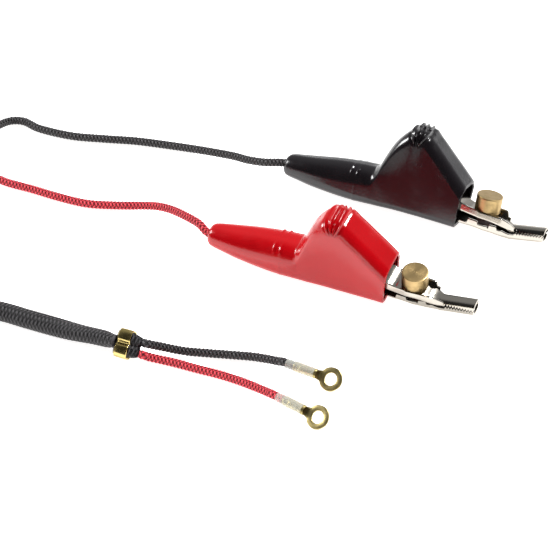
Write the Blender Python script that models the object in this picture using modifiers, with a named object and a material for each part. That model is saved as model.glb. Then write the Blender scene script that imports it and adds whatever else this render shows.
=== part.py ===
"""A test-set cord: two booted bed-of-nails clips on a split cord, and two ring lugs at its other end.

Run with: blender --background --python part.py

Every size below is in millimetres and becomes metres through MM. Each clip is modelled in its own frame,
x from the boot's tail to the nose, y to the far side and z up, and is then placed by its parent empty.
The world's origin is at the bottom centre of the two clips' box, with +Z up and +X along the clips.
"""

import math

import bmesh
import bpy
from mathutils import Matrix, Vector

MM = 0.001
GAP = 0.3
MERGE = 0.00001

# Clips: where each tail's axis origin stands, and how the clip is turned (degrees).
CLIPS = {
    "red": {"at": (-57.1, -2.5, 5.24), "yaw": -23.4, "nose_down": 3.0, "roll": 10.0},
    "black": {"at": (-31.1, 38.6, 5.34), "yaw": -24.8, "nose_down": 3.0, "roll": -14.0},
}
# From the cords' own grid of points to the world's origin, at the middle of the two clips.
CLIPS_CENTRE = (-0.4, 1.29, 0.0)
BOOT_COLOURS = {"red": (0.78, 0.01, 0.02), "black": (0.012, 0.011, 0.013)}
BRAID_COLOURS = {"red": (0.72, 0.03, 0.05), "black": (0.02, 0.02, 0.022)}

# Vinyl boot.
BOOT_WALL = 1.2
BOOT_SIDES = 16
BOOT_SHARP_ANGLE = 50
TAIL_AXIS_Z = 1.0
TAIL_HOLE_R = 1.8
MOUTH_X = 66.2
MOUTH_SLANT = 0.07
SLANT_START_X = 50.0

# Pivot, its pin and the torsion spring.
PIVOT_X = 60.5
PIVOT_Z = 5.8
PIN_R = 1.0
PIN_HALF = 5.1
PIN_HEAD_R = 1.7
PIN_HEAD_LENGTH = 0.6
PIN_CLEARANCE = 0.1
SPRING_WIRE = 0.8
SPRING_COIL_R = 1.85
SPRING_TURNS = 3.5
SPRING_HALF = 1.55

# Stamped jaws.
SHEET = 0.7
LOWER_HALF_WIDTH = 4.1
LOWER_EAR_R = 2.6
UPPER_EAR_Y = 2.7
UPPER_EAR_R = 2.3
UPPER_EAR_BACK_TOP = 13.35
UPPER_EAR_FRONT_TOP = 9.4
NOSE_START_X = 85.0
TIP_X = 97.4
NOSE_R = 2.6
NOSE_START_Z = 1.8
NOSE_BLEND_X = 79.5
NOSE_TIP_Z = 4.4
TOOTH_PITCH = 1.1
TOOTH_DEPTH = 0.55
TEETH_START_X = 87.0
TEETH_GAP = 0.3

# Nail bed and its brass holder.
NAIL_X = 75.3
PAN_Z = 6.0
HOLDER_R = 4.55
HOLDER_TOP_Z = 12.6
HOLDER_CHAMFER = 0.3
STUD_R = 1.3
STUD_LENGTH = 3.2
CARRIER_R = 2.6
CARRIER_THICKNESS = 0.9
NEEDLE_R = 0.28
NEEDLE_LENGTH = 1.3
NEEDLE_CIRCLE_R = 1.6
NEEDLES = 6
ANVIL_SIZE = (6.0, 5.6, 0.7)

# Wire terminal inside the boot's tail.
TERMINAL_X = 27.5
TERMINAL_HOLE_R = 1.3
SCREW_HEAD_R = 2.1
SCREW_HEAD_HEIGHT = 1.5
SCREW_HEAD_CROWN = 0.5
SCREW_R = 0.95
SCREW_LENGTH = 1.9
HANDLE_END_X = 23.0
LEAD_END_X = 19.5
CONDUCTOR_R = 0.6

# Cords.
LEAD_D = 2.9
LEAD_SPACING = 3.9
SLEEVE_D = 6.6
FLOOR_LEAD_Z = 1.5
FLOOR_SLEEVE_Z = 3.33
COIL_CENTRE = (-186.5, 1.0)
COIL_R = 34.0
COIL_WIDTH = 14.0
COIL_HEIGHT = 13.4
COIL_BASE_Z = 1.2
COIL_CHAMFER = 3.0
TIE_THICKNESS = 0.8
TIE_WIDTH = 9.0

# Split ferrule near the lugs, and its twin where the clip leads start.
FERRULE_WIDTH = 9.8
FERRULE_DEPTH = 5.9
FERRULE_LENGTH = 4.6
FERRULE_WALL = 0.5
FERRULE_WAIST = 0.7
LUG_FERRULE = {"at": (-84.1, -61.5, 4.4), "yaw": -23.8, "roll": 45.0}
CLIP_FERRULE = {"at": (-155.5, 52.0, 4.4), "yaw": 12.0, "roll": 45.0}
SLEEVE_END_LENGTH = 3.2

# Ring lugs.
LUGS = {
    "red": {"at": (-21.3, -97.9, 3.25), "yaw": -38.9},
    "black": {"at": (-16.9, -78.6, 3.25), "yaw": -30.3},
}
LUG_ROLL = 45.0
RING_R = 4.0
RING_HOLE_R = 2.1
LUG_THICKNESS = 0.8
LUG_NECK_X = -5.3
BARREL_R = 1.6
BARREL_BORE_R = 1.05
BARREL_LENGTH = 8.0
BARREL_LIFT = 0.6
CLEAR_INNER_R = 1.78
CLEAR_OUTER_R = 2.05
CLEAR_START_X = -5.6
CLEAR_END_X = -16.0
LUG_LEAD_END_X = -13.7


# ---------------------------------------------------------------- scene and small helpers


def clear_scene():
    for obj in list(bpy.data.objects):
        bpy.data.objects.remove(obj)


def make_collection(name):
    collection = bpy.data.collections.new(name)
    bpy.context.scene.collection.children.link(collection)
    return collection


def make_material(name, colour, roughness, metallic, alpha=1.0):
    material = bpy.data.materials.new(name)
    material.use_nodes = True
    shader = material.node_tree.nodes["Principled BSDF"]
    shader.inputs["Base Color"].default_value = (*colour, 1.0)
    shader.inputs["Roughness"].default_value = roughness
    shader.inputs["Metallic"].default_value = metallic
    shader.inputs["Alpha"].default_value = alpha
    return material


def place(x, y, z):
    """A point or size in millimetres as a vector in metres."""
    return Vector((x, y, z)) * MM


def add_object(name, data, parent=None, material=None):
    obj = bpy.data.objects.new(name, data)
    PARTS.objects.link(obj)
    if parent is not None:
        obj.parent = parent
    if material is not None:
        data.materials.append(material)
    return obj


def make_cutter(obj):
    """Move an object out of the parts, so that it only cuts or joins."""
    PARTS.objects.unlink(obj)
    CUTTERS.objects.link(obj)
    obj.hide_render = True
    obj.display_type = "WIRE"
    return obj


def add_empty(name, matrix, parent=None):
    empty = bpy.data.objects.new(name, None)
    PARTS.objects.link(empty)
    if parent is not None:
        empty.parent = parent
    empty.matrix_local = matrix
    return empty


def pose_matrix(at, yaw, nose_down=0.0, roll=0.0):
    """The frame at a point, turned about Z, then nose down, then rolled about its own x."""
    turn = Matrix.Rotation(math.radians(yaw), 4, "Z")
    dip = Matrix.Rotation(math.radians(nose_down), 4, "Y")
    lean = Matrix.Rotation(math.radians(roll), 4, "X")
    return Matrix.Translation(place(*at)) @ turn @ dip @ lean


def mesh_from_rows(name, rows, closed, capped=False):
    """A skin through rows of points, each row open like a sheet or closed like a ring."""
    work = bmesh.new()
    grid = [[work.verts.new(place(*point)) for point in row] for row in rows]
    count = len(grid[0])
    last = count if closed else count - 1
    for near, far in zip(grid, grid[1:]):
        for i in range(last):
            j = (i + 1) % count
            work.faces.new((near[i], near[j], far[j], far[i]))
    if capped:
        work.faces.new(list(reversed(grid[0])))
        work.faces.new(grid[-1])
    bmesh.ops.recalc_face_normals(work, faces=work.faces)
    mesh = bpy.data.meshes.new(name)
    work.to_mesh(mesh)
    work.free()
    return mesh


def smooth(obj, angle=40):
    obj.data.shade_smooth()
    obj.data.set_sharp_from_angle(angle=math.radians(angle))
    return obj


def thicken(obj, thickness, offset):
    modifier = obj.modifiers.new("wall", "SOLIDIFY")
    modifier.thickness = thickness * MM
    modifier.offset = offset
    return obj


def combine(obj, other, operation):
    modifier = obj.modifiers.new(operation.lower(), "BOOLEAN")
    modifier.operation = operation
    modifier.object = make_cutter(other)
    return obj


def bake(obj, parent, location=(0, 0, 0)):
    """Make the modifiers' result the object's own mesh, then hang the object on its parent."""
    others = [m.object for m in obj.modifiers if m.type == "BOOLEAN"]
    graph = bpy.context.evaluated_depsgraph_get()
    mesh = bpy.data.meshes.new_from_object(obj.evaluated_get(graph))
    obj.modifiers.clear()
    obj.data = mesh
    for other in others:
        bpy.data.objects.remove(other)
    obj.parent = parent
    obj.location = place(*location)
    return obj


def turned(name, profile, steps, parent, material, at=(0, 0, 0), turn=(0, 0, 0)):
    """A turned piece: (radius, z) points run down its outer side, from the axis back to the axis."""
    mesh = bpy.data.meshes.new(name)
    points = [place(r, 0, z) for r, z in profile]
    edges = [(i, i + 1) for i in range(len(points) - 1)]
    mesh.from_pydata(points, edges, [])
    obj = add_object(name, mesh, parent, material)
    screw = obj.modifiers.new("turn", "SCREW")
    screw.steps = steps
    screw.render_steps = steps
    screw.use_merge_vertices = True
    screw.merge_threshold = MERGE
    obj.location = place(*at)
    obj.rotation_euler = [math.radians(angle) for angle in turn]
    return obj


def tube_profile(inner_r, outer_r, low, high):
    """A hollow turned profile as a closed loop, starting and ending at its top inner edge."""
    return [(inner_r, high), (outer_r, high), (outer_r, low), (inner_r, low), (inner_r, high)]


def disc_profile(radius, low, high):
    return [(0.0, high), (radius, high), (radius, low), (0.0, low)]


def plate_from_outline(name, outline, thickness, parent, material):
    """A flat plate in its own x-y plane from (x, y) points, half its thickness each side."""
    curve = bpy.data.curves.new(name, "CURVE")
    curve.dimensions = "2D"
    curve.fill_mode = "BOTH"
    curve.extrude = thickness * MM / 2
    spline = curve.splines.new("POLY")
    spline.points.add(len(outline) - 1)
    for point, (x, y) in zip(spline.points, outline):
        point.co = (*place(x, y, 0), 1.0)
    spline.use_cyclic_u = True
    return mesh_from_curve(add_object(name, curve), parent, material)


def mesh_from_curve(curve_object, parent, material):
    """The curve as a welded mesh object, because a curve takes no Boolean."""
    name = curve_object.name
    graph = bpy.context.evaluated_depsgraph_get()
    mesh = bpy.data.meshes.new_from_object(curve_object.evaluated_get(graph))
    matrix = curve_object.matrix_world.copy()
    bpy.data.objects.remove(curve_object)
    work = bmesh.new()
    work.from_mesh(mesh)
    bmesh.ops.remove_doubles(work, verts=work.verts, dist=MERGE)
    bmesh.ops.recalc_face_normals(work, faces=work.faces)
    work.to_mesh(mesh)
    work.free()
    obj = add_object(name, mesh, parent)
    obj.matrix_world = matrix
    obj.data.materials.clear()
    obj.data.materials.append(material)
    return obj


def arc(centre, radius, start, end, count):
    """Points on an arc in a plane, from one angle to another in degrees."""
    angles = [math.radians(start + (end - start) * i / (count - 1)) for i in range(count)]
    return [(centre[0] + radius * math.cos(a), centre[1] + radius * math.sin(a)) for a in angles]


def blend(points, x):
    """The value at x on a chain of (x, value) points."""
    for (x0, v0), (x1, v1) in zip(points, points[1:]):
        if x <= x1:
            return v0 + (v1 - v0) * max(0.0, (x - x0) / (x1 - x0))
    return points[-1][1]


# ---------------------------------------------------------------- the vinyl boot

# Stations from tail to mouth: x, bottom z, top z, half width low down, half width at the top, squareness.
BOOT_STATIONS = (
    (0.3, -2.1, 4.1, 3.2, 3.2, 2.0),
    (1.3, -2.8, 4.9, 3.9, 3.9, 2.0),
    (6.0, -3.1, 6.0, 5.0, 4.9, 2.0),
    (12.0, -3.4, 7.2, 6.0, 5.8, 2.1),
    (20.0, -3.3, 8.8, 6.8, 6.4, 2.2),
    (28.0, -2.9, 10.1, 7.3, 6.8, 2.4),
    (33.5, -2.4, 10.9, 7.4, 6.8, 2.4),
    (35.0, -2.2, 12.8, 7.4, 6.5, 2.6),
    (37.0, -2.0, 17.8, 7.4, 6.4, 2.8),
    (39.5, -1.7, 22.8, 7.4, 6.4, 3.0),
    (43.0, -1.4, 27.2, 7.4, 6.4, 3.2),
    (46.5, -1.2, 29.6, 7.4, 6.4, 3.4),
    (49.8, -1.1, 29.5, 7.4, 6.6, 3.6),
    (53.5, -1.0, 26.4, 7.4, 6.8, 3.8),
    (59.0, -1.0, 21.0, 7.3, 7.0, 4.0),
    (MOUTH_X, -1.0, 14.2, 7.2, 7.0, 4.0),
)


def boot_ring(x, low, high, low_width, top_width, squareness):
    """One ring of the boot: a rounded box whose width runs from low down to the top."""
    ring = []
    middle = (low + high) / 2
    half = (high - low) / 2
    for i in range(BOOT_SIDES):
        angle = 2 * math.pi * i / BOOT_SIDES
        across = math.copysign(abs(math.cos(angle)) ** (2 / squareness), math.cos(angle))
        upward = math.copysign(abs(math.sin(angle)) ** (2 / squareness), math.sin(angle))
        width = low_width + (top_width - low_width) * (upward + 1) / 2
        z = middle + half * upward
        slant = MOUTH_SLANT * z * max(0.0, (x - SLANT_START_X) / (MOUTH_X - SLANT_START_X))
        ring.append((x + slant, width * across, z))
    return ring


def make_boot(colour, clip):
    hole = [(0.0, TAIL_HOLE_R * c, TAIL_AXIS_Z + TAIL_HOLE_R * s) for c, s in unit_circle(BOOT_SIDES)]
    rows = [hole] + [boot_ring(*station) for station in BOOT_STATIONS]
    mesh = mesh_from_rows(f"{colour}_boot", rows, closed=True)
    boot = add_object(f"{colour}_boot", mesh, clip, MATERIALS[f"{colour}_vinyl"])
    return smooth(thicken(boot, BOOT_WALL, -1), BOOT_SHARP_ANGLE)


def unit_circle(count):
    return [(math.cos(2 * math.pi * i / count), math.sin(2 * math.pi * i / count)) for i in range(count)]


# ---------------------------------------------------------------- stamped jaws


def nose_axis_z(x):
    return blend(((NOSE_START_X, NOSE_START_Z), (TIP_X, NOSE_TIP_Z)), x)


def tooth_wave(x):
    """A zigzag of height -1 to 1 with one period a tooth, flat before the teeth start."""
    if x < TEETH_START_X:
        return 0.0
    phase = (x - TEETH_START_X) / TOOTH_PITCH % 1.0
    return 1.0 - 4.0 * abs(phase - 0.5)


def tooth_stations():
    """Every root and tip along the nose."""
    count = int((TIP_X - TEETH_START_X) / TOOTH_PITCH * 2)
    return [TEETH_START_X + TOOTH_PITCH * i / 2 for i in range(count + 1)] + [TIP_X]


LOWER_FLOOR = ((HANDLE_END_X, 1.2), (34.0, 0.9), (58.0, 0.9), (72.0, 0.9), (79.0, 0.4), (85.0, -0.5))
LOWER_WIDTH = (
    (HANDLE_END_X, 2.9),
    (46.0, 3.2),
    (56.0, LOWER_HALF_WIDTH),
    (76.0, LOWER_HALF_WIDTH),
    (84.0, 2.7),
)
LOWER_WALL = (
    (HANDLE_END_X, 3.6),
    (46.0, 4.4),
    (66.2, 4.4),
    (66.4, 2.4),
    (68.6, 2.4),
    (68.8, 4.9),
    (72.4, 4.7),
    (72.6, 3.0),
    (75.6, 2.8),
    (75.8, 3.7),
    (79.2, 3.3),
    (79.4, 2.4),
    (84.0, 1.5),
)


def lower_wall_top(x):
    """The channel's wall, with a round ear about the pivot."""
    wall = blend(LOWER_WALL, x)
    reach = LOWER_EAR_R**2 - (x - PIVOT_X) ** 2
    return max(wall, PIVOT_Z + math.sqrt(reach)) if reach > 0 else wall


def lower_row(x):
    """A section of the lower jaw: a channel behind, half a tube at the nose, and a blend between."""
    floor = blend(LOWER_FLOOR, x)
    width = blend(LOWER_WIDTH, x) - SHEET / 2
    top = lower_wall_top(x)
    channel = [(width, top), (width, floor + 0.8), (width - 0.8, floor), (0.0, floor)]
    axis = nose_axis_z(x)
    edge = axis - TEETH_GAP / 2 + TOOTH_DEPTH / 2 * tooth_wave(x)
    radius = NOSE_R - SHEET / 2
    tube = [(radius, edge), (radius * 0.93, axis - radius * 0.45), (radius * 0.62, axis - radius * 0.8)]
    tube.append((0.0, axis - radius))
    share = min(1.0, max(0.0, (x - NOSE_BLEND_X) / (NOSE_START_X - NOSE_BLEND_X)))
    half = [(a + (c - a) * share, b + (d - b) * share) for (a, b), (c, d) in zip(channel, tube)]
    near = [(x, -y, z) for y, z in half]
    far = [(x, y, z) for y, z in reversed(half[:-1])]
    return near + far


def pivot_bore(name):
    profile = disc_profile(PIN_R + PIN_CLEARANCE, -8.0, 8.0)
    return turned(name, profile, 20, None, None, (PIVOT_X, 0, PIVOT_Z), (90, 0, 0))


def make_lower_jaw(colour, clip):
    ear = [PIVOT_X + LOWER_EAR_R * math.cos(math.radians(a)) for a in (170, 145, 115, 90, 65, 35, 10)]
    walls = [x for x, _ in LOWER_WALL] + [x for x, _ in LOWER_FLOOR] + [81.0, 82.5, 86.0]
    stations = sorted(set(ear + walls + tooth_stations()))
    mesh = mesh_from_rows(f"{colour}_lower_jaw", [lower_row(x) for x in stations], closed=False)
    jaw = thicken(add_object(f"{colour}_lower_jaw", mesh, None, MATERIALS["nickel"]), SHEET, 0)
    combine(jaw, pivot_bore(f"{colour}_lower_bore"), "DIFFERENCE")
    through = disc_profile(TERMINAL_HOLE_R, -3, 6)
    hole = turned(f"{colour}_terminal_hole", through, 16, None, None, (TERMINAL_X, 0, 0))
    combine(jaw, hole, "DIFFERENCE")
    return smooth(bake(jaw, clip))


# Upper jaw stations from the thumb end to the nose: x, plate z, half width, near lip, far lip.
UPPER_STATIONS = (
    (47.6, 22.6, 2.6, -0.3, -0.3),
    (48.6, 21.8, 3.6, -0.9, -0.9),
    (54.0, 17.0, 3.8, -0.9, -0.9),
    (58.0, 13.5, 4.0, -0.2, -0.2),
    (61.5, 10.6, 4.2, 0.1, 0.1),
    (64.5, 8.2, 4.6, 0.9, 0.9),
    (67.0, 6.7, 5.0, 1.5, 1.5),
    (69.5, PAN_Z, 5.2, 1.7, 1.8),
    (76.6, PAN_Z, 5.0, 1.6, 1.6),
    (77.6, PAN_Z - 0.1, 4.8, 1.5, 2.4),
    (80.8, PAN_Z - 0.9, 4.4, 2.0, 3.0),
    (82.0, PAN_Z - 1.3, 4.0, 1.6, 2.8),
    (82.9, PAN_Z - 1.5, 3.5, 0.6, 1.0),
)


def upper_row(x, z, width, near_lip, far_lip):
    """A section of the upper jaw's plate with a turned edge at each side."""
    near = [(x, -width, z + near_lip), (x, -width + 0.15, z), (x, -width * 0.55, z)]
    far = [(x, width * 0.55, z), (x, width - 0.15, z), (x, width, z + far_lip)]
    return near + [(x, 0.0, z)] + far


def upper_nose_row(x):
    axis = nose_axis_z(x)
    radius = NOSE_R - SHEET / 2
    edge = axis + TEETH_GAP / 2 + TOOTH_DEPTH / 2 * tooth_wave(x)
    half = [(radius, edge), (radius * 0.93, axis + radius * 0.45), (radius * 0.62, axis + radius * 0.8)]
    near = [(x, -y, z) for y, z in half]
    far = [(x, y, z) for y, z in reversed(half)]
    return near + [(x, 0.0, axis + radius)] + far


def upper_ear(colour, side):
    """A leg from the plate's underside down round the pivot."""
    legs = [(PIVOT_X - UPPER_EAR_R - GAP, UPPER_EAR_BACK_TOP), (PIVOT_X - UPPER_EAR_R, PIVOT_Z)]
    legs += arc((PIVOT_X, PIVOT_Z), UPPER_EAR_R, 195, 345, 9)
    legs += [(PIVOT_X + UPPER_EAR_R, PIVOT_Z), (PIVOT_X + UPPER_EAR_R + 0.1, UPPER_EAR_FRONT_TOP)]
    ear = plate_from_outline(f"{colour}_ear_{side}", legs, SHEET, None, MATERIALS["nickel"])
    ear.rotation_euler = (math.pi / 2, 0, 0)
    ear.location = place(0, side * UPPER_EAR_Y, 0)
    return ear


def make_upper_jaw(colour, pivot):
    rows = [upper_row(*station) for station in UPPER_STATIONS]
    rows += [upper_nose_row(x) for x in [84.6, 86.0] + tooth_stations()]
    mesh = mesh_from_rows(f"{colour}_upper_jaw", rows, closed=False)
    jaw = thicken(add_object(f"{colour}_upper_jaw", mesh, None, MATERIALS["nickel"]), SHEET, 0)
    for side in (-1, 1):
        combine(jaw, upper_ear(colour, side), "UNION")
    combine(jaw, pivot_bore(f"{colour}_upper_bore"), "DIFFERENCE")
    hole = disc_profile(STUD_R + GAP, PAN_Z - 3, PAN_Z + 3)
    combine(jaw, turned(f"{colour}_stud_hole", hole, 20, None, None, (NAIL_X, 0, 0)), "DIFFERENCE")
    return smooth(bake(jaw, pivot, (-PIVOT_X, 0, -PIVOT_Z)))


# ---------------------------------------------------------------- pivot, spring and nail bed


def make_pivot_pin(colour, clip):
    inner = PIN_HALF - PIN_HEAD_LENGTH
    profile = [
        (0.0, PIN_HALF),
        (PIN_HEAD_R * 0.7, PIN_HALF),
        (PIN_HEAD_R, inner + 0.1),
        (PIN_HEAD_R, inner),
        (PIN_R, inner),
        (PIN_R, -inner),
        (PIN_HEAD_R, -inner),
        (PIN_HEAD_R, -inner - 0.1),
        (PIN_HEAD_R * 0.7, -PIN_HALF),
        (0.0, -PIN_HALF),
    ]
    at = (PIVOT_X, 0, PIVOT_Z)
    return smooth(turned(f"{colour}_pivot_pin", profile, 16, clip, MATERIALS["steel"], at, (90, 0, 0)))


def make_spring(colour, clip):
    """A torsion spring round the pin: one leg under the lever, one along the lower jaw's floor."""
    steps = int(SPRING_TURNS * 10)
    start = math.radians(150)
    coil = []
    for i in range(steps + 1):
        angle = start + 2 * math.pi * SPRING_TURNS * i / steps
        across = -SPRING_HALF + 2 * SPRING_HALF * i / steps
        point = (PIVOT_X + SPRING_COIL_R * math.cos(angle), across, PIVOT_Z + SPRING_COIL_R * math.sin(angle))
        coil.append(point)
    upper_leg = [(53.6, -SPRING_HALF, 15.6), (56.4, -SPRING_HALF, 11.0)]
    lower_leg = [(55.0, SPRING_HALF, 2.3), (50.0, SPRING_HALF, 2.1)]
    return wire(f"{colour}_spring", upper_leg + coil + lower_leg, SPRING_WIRE, clip, MATERIALS["steel"], 1)


def wire(name, points, diameter, parent, material, resolution):
    """A round wire through the points, as a curve with a bevel."""
    curve = bpy.data.curves.new(name, "CURVE")
    curve.dimensions = "3D"
    curve.bevel_depth = diameter * MM / 2
    curve.bevel_resolution = resolution
    curve.use_fill_caps = True
    spline = curve.splines.new("POLY")
    spline.points.add(len(points) - 1)
    for point, position in zip(spline.points, points):
        point.co = (*place(*position), 1.0)
    return add_object(name, curve, parent, material)


def make_nail_holder(colour, pivot):
    """The brass post on the pan, with a blind bore that takes the nail bed's stud."""
    base = PAN_Z + SHEET / 2 + GAP
    bore_top = base + STUD_LENGTH
    profile = [
        (0.0, HOLDER_TOP_Z),
        (HOLDER_R - HOLDER_CHAMFER, HOLDER_TOP_Z),
        (HOLDER_R, HOLDER_TOP_Z - HOLDER_CHAMFER),
        (HOLDER_R, base + HOLDER_CHAMFER),
        (HOLDER_R - HOLDER_CHAMFER, base),
        (STUD_R + GAP, base),
        (STUD_R + GAP, bore_top),
        (0.0, bore_top),
    ]
    at = (NAIL_X - PIVOT_X, 0, -PIVOT_Z)
    return smooth(turned(f"{colour}_nail_holder", profile, 24, pivot, MATERIALS["brass"], at))


def make_nail_bed(colour, pivot):
    """A carrier disc with a stud above it and needles below it."""
    top = PAN_Z - SHEET / 2 - GAP
    low = top - CARRIER_THICKNESS
    stud_top = PAN_Z + SHEET / 2 + STUD_LENGTH - GAP
    profile = [
        (0.0, stud_top),
        (STUD_R, stud_top),
        (STUD_R, top),
        (CARRIER_R, top),
        (CARRIER_R, low),
        (0.0, low),
    ]
    bed = turned(f"{colour}_nail_bed", profile, 20, None, MATERIALS["steel"])
    places = [(0.0, 0.0)] + [(NEEDLE_CIRCLE_R * c, NEEDLE_CIRCLE_R * s) for c, s in unit_circle(NEEDLES)]
    for i, (x, y) in enumerate(places):
        tip = low - NEEDLE_LENGTH
        needle = [(0.0, low + 0.3), (NEEDLE_R, low + 0.3), (NEEDLE_R, tip + 0.6), (0.0, tip)]
        combine(bed, turned(f"{colour}_needle_{i}", needle, 8, None, None, (x, y, 0)), "UNION")
    return smooth(bake(bed, pivot, (NAIL_X - PIVOT_X, 0, -PIVOT_Z)))


def make_anvil(colour, clip):
    """The pad in the lower jaw that the needles press a wire against."""
    bpy.ops.mesh.primitive_cube_add(size=1)
    pad = bpy.context.object
    for collection in list(pad.users_collection):
        collection.objects.unlink(pad)
    PARTS.objects.link(pad)
    pad.name = f"{colour}_anvil"
    pad.data.transform(Matrix.Diagonal((*place(*ANVIL_SIZE), 1.0)))
    pad.parent = clip
    floor_top = blend(LOWER_FLOOR, NAIL_X) + SHEET / 2
    pad.location = place(NAIL_X - 0.6, 0, floor_top + GAP + ANVIL_SIZE[2] / 2 + 0.15)
    pad.data.materials.append(MATERIALS["fibre"])
    return pad


def make_terminal(colour, clip):
    """The screw and the lead's bare conductor at the lower jaw's handle end."""
    floor_top = blend(LOWER_FLOOR, TERMINAL_X) + SHEET / 2
    under = floor_top + 1.5 * GAP
    profile = [
        (0.0, under + SCREW_HEAD_HEIGHT),
        (SCREW_HEAD_R - SCREW_HEAD_CROWN, under + SCREW_HEAD_HEIGHT),
        (SCREW_HEAD_R, under + SCREW_HEAD_HEIGHT - SCREW_HEAD_CROWN),
        (SCREW_HEAD_R, under),
        (SCREW_R, under),
        (SCREW_R, floor_top - SCREW_LENGTH),
        (0.0, floor_top - SCREW_LENGTH),
    ]
    screw = turned(f"{colour}_terminal_screw", profile, 20, clip, MATERIALS["steel"], (TERMINAL_X, 0, 0))
    conductor_z = floor_top + GAP + CONDUCTOR_R
    length = TERMINAL_X - SCREW_HEAD_R - GAP - LEAD_END_X - GAP
    core = disc_profile(CONDUCTOR_R, 0, length)
    conductor = turned(f"{colour}_conductor", core, 12, clip, MATERIALS["copper"])
    conductor.location = place(LEAD_END_X + GAP, 0, conductor_z)
    conductor.rotation_euler = (0, math.pi / 2, 0)
    return smooth(screw), smooth(conductor)


def make_clip(colour, root):
    settings = CLIPS[colour]
    matrix = pose_matrix(settings["at"], settings["yaw"], settings["nose_down"], settings["roll"])
    clip = add_empty(f"{colour}_clip_frame", matrix, root)
    pivot = add_empty(f"{colour}_jaw_pivot", Matrix.Translation(place(PIVOT_X, 0, PIVOT_Z)), clip)
    make_boot(colour, clip)
    make_lower_jaw(colour, clip)
    make_upper_jaw(colour, pivot)
    make_pivot_pin(colour, clip)
    make_spring(colour, clip)
    make_nail_holder(colour, pivot)
    make_nail_bed(colour, pivot)
    make_anvil(colour, clip)
    make_terminal(colour, clip)


def clip_point(colour, x, y, z):
    """A point of the clip's frame in the cord's millimetres."""
    settings = CLIPS[colour]
    matrix = pose_matrix(settings["at"], settings["yaw"], settings["nose_down"], settings["roll"])
    return tuple(matrix @ place(x, y, z) / MM)


# ---------------------------------------------------------------- ring lugs


def lug_outline():
    """The tongue seen from above: a round ring end and a neck that narrows to the barrel."""
    ring = arc((0.0, 0.0), RING_R, -152, 152, 27)
    return ring + [(LUG_NECK_X - 0.9, 1.2), (LUG_NECK_X - 0.9, -1.2)]


def make_lug(colour, root):
    settings = LUGS[colour]
    matrix = pose_matrix(settings["at"], settings["yaw"], 0.0, LUG_ROLL)
    frame = add_empty(f"{colour}_lug_frame", matrix, root)
    lug = plate_from_outline(f"{colour}_lug", lug_outline(), LUG_THICKNESS, None, MATERIALS["brass"])
    hole = turned(f"{colour}_lug_hole", disc_profile(RING_HOLE_R, -2, 2), 28, None, None)
    combine(lug, hole, "DIFFERENCE")
    end = LUG_NECK_X - BARREL_LENGTH
    lift = (0, 0, BARREL_LIFT)
    along = (0, 90, 0)
    barrel = disc_profile(BARREL_R, end, LUG_NECK_X)
    bore = disc_profile(BARREL_BORE_R, end - 1, LUG_NECK_X + 3)
    combine(lug, turned(f"{colour}_lug_barrel", barrel, 20, None, None, lift, along), "UNION")
    combine(lug, turned(f"{colour}_lug_bore", bore, 16, None, None, lift, along), "DIFFERENCE")
    smooth(bake(lug, frame), 30)
    clear = tube_profile(CLEAR_INNER_R, CLEAR_OUTER_R, CLEAR_END_X, CLEAR_START_X)
    conductor = disc_profile(BARREL_BORE_R - GAP, LUG_LEAD_END_X + GAP, LUG_NECK_X - 1.0)
    for name, profile, steps, material in (
        (f"{colour}_lug_sleeve", clear, 20, "clear"),
        (f"{colour}_lug_conductor", conductor, 12, "copper"),
    ):
        piece = turned(name, profile, steps, frame, MATERIALS[material], (0, 0, BARREL_LIFT), (0, 90, 0))
        smooth(piece)


def lug_point(colour, x):
    """A point on the barrel's axis in the cord's millimetres."""
    settings = LUGS[colour]
    matrix = pose_matrix(settings["at"], settings["yaw"], 0.0, LUG_ROLL)
    return tuple(matrix @ place(x, 0, BARREL_LIFT) / MM)


# ---------------------------------------------------------------- ferrules, sleeve ends and cords


def lobed_outline(width, depth, waist):
    """A figure of eight laid on its side: two round lobes and a waist."""
    lobe = depth / 2
    reach = width / 2 - lobe
    right = arc((reach, 0.0), lobe, -100, 100, 11)
    left = arc((-reach, 0.0), lobe, 80, 280, 11)
    return right + [(0.0, lobe - waist)] + left + [(0.0, waist - lobe)]


def ferrule_matrix(settings):
    return pose_matrix(settings["at"], settings["yaw"], 0.0, settings["roll"])


def along_x(outline, x):
    """An outline of (y, z) pairs as a row of points across the x axis."""
    return [(x, y, z) for y, z in outline]


def make_ferrule(name, settings, root):
    """A crimped brass band round the two leads."""
    frame = add_empty(f"{name}_frame", ferrule_matrix(settings), root)
    outline = lobed_outline(FERRULE_WIDTH, FERRULE_DEPTH, FERRULE_WAIST)
    half = FERRULE_LENGTH / 2
    rows = [along_x(outline, -half), along_x(outline, half)]
    band = add_object(name, mesh_from_rows(name, rows, closed=True), frame, MATERIALS["brass"])
    return smooth(thicken(band, FERRULE_WALL, -1))


def make_sleeve_end(name, settings, root):
    """The braid's end inside the band, tapering just past it."""
    frame = add_empty(f"{name}_frame", ferrule_matrix(settings), root)
    inset = 2 * (FERRULE_WALL + GAP)
    half = FERRULE_LENGTH / 2
    full = lobed_outline(FERRULE_WIDTH - inset, FERRULE_DEPTH - inset, FERRULE_WAIST)
    slim = lobed_outline(FERRULE_WIDTH - inset - 1.2, FERRULE_DEPTH - inset - 0.8, FERRULE_WAIST)
    rows = [along_x(full, -half - 0.5), along_x(full, half), along_x(slim, half + SLEEVE_END_LENGTH)]
    mesh = mesh_from_rows(name, rows, closed=True, capped=True)
    return smooth(add_object(name, mesh, frame, MATERIALS["sleeve_braid"]))


def ferrule_point(settings, x, side):
    """A point in the cord's millimetres beside the ferrule's axis, at one of its two lobes."""
    return tuple(ferrule_matrix(settings) @ place(x, side * LEAD_SPACING / 2, 0) / MM)



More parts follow.
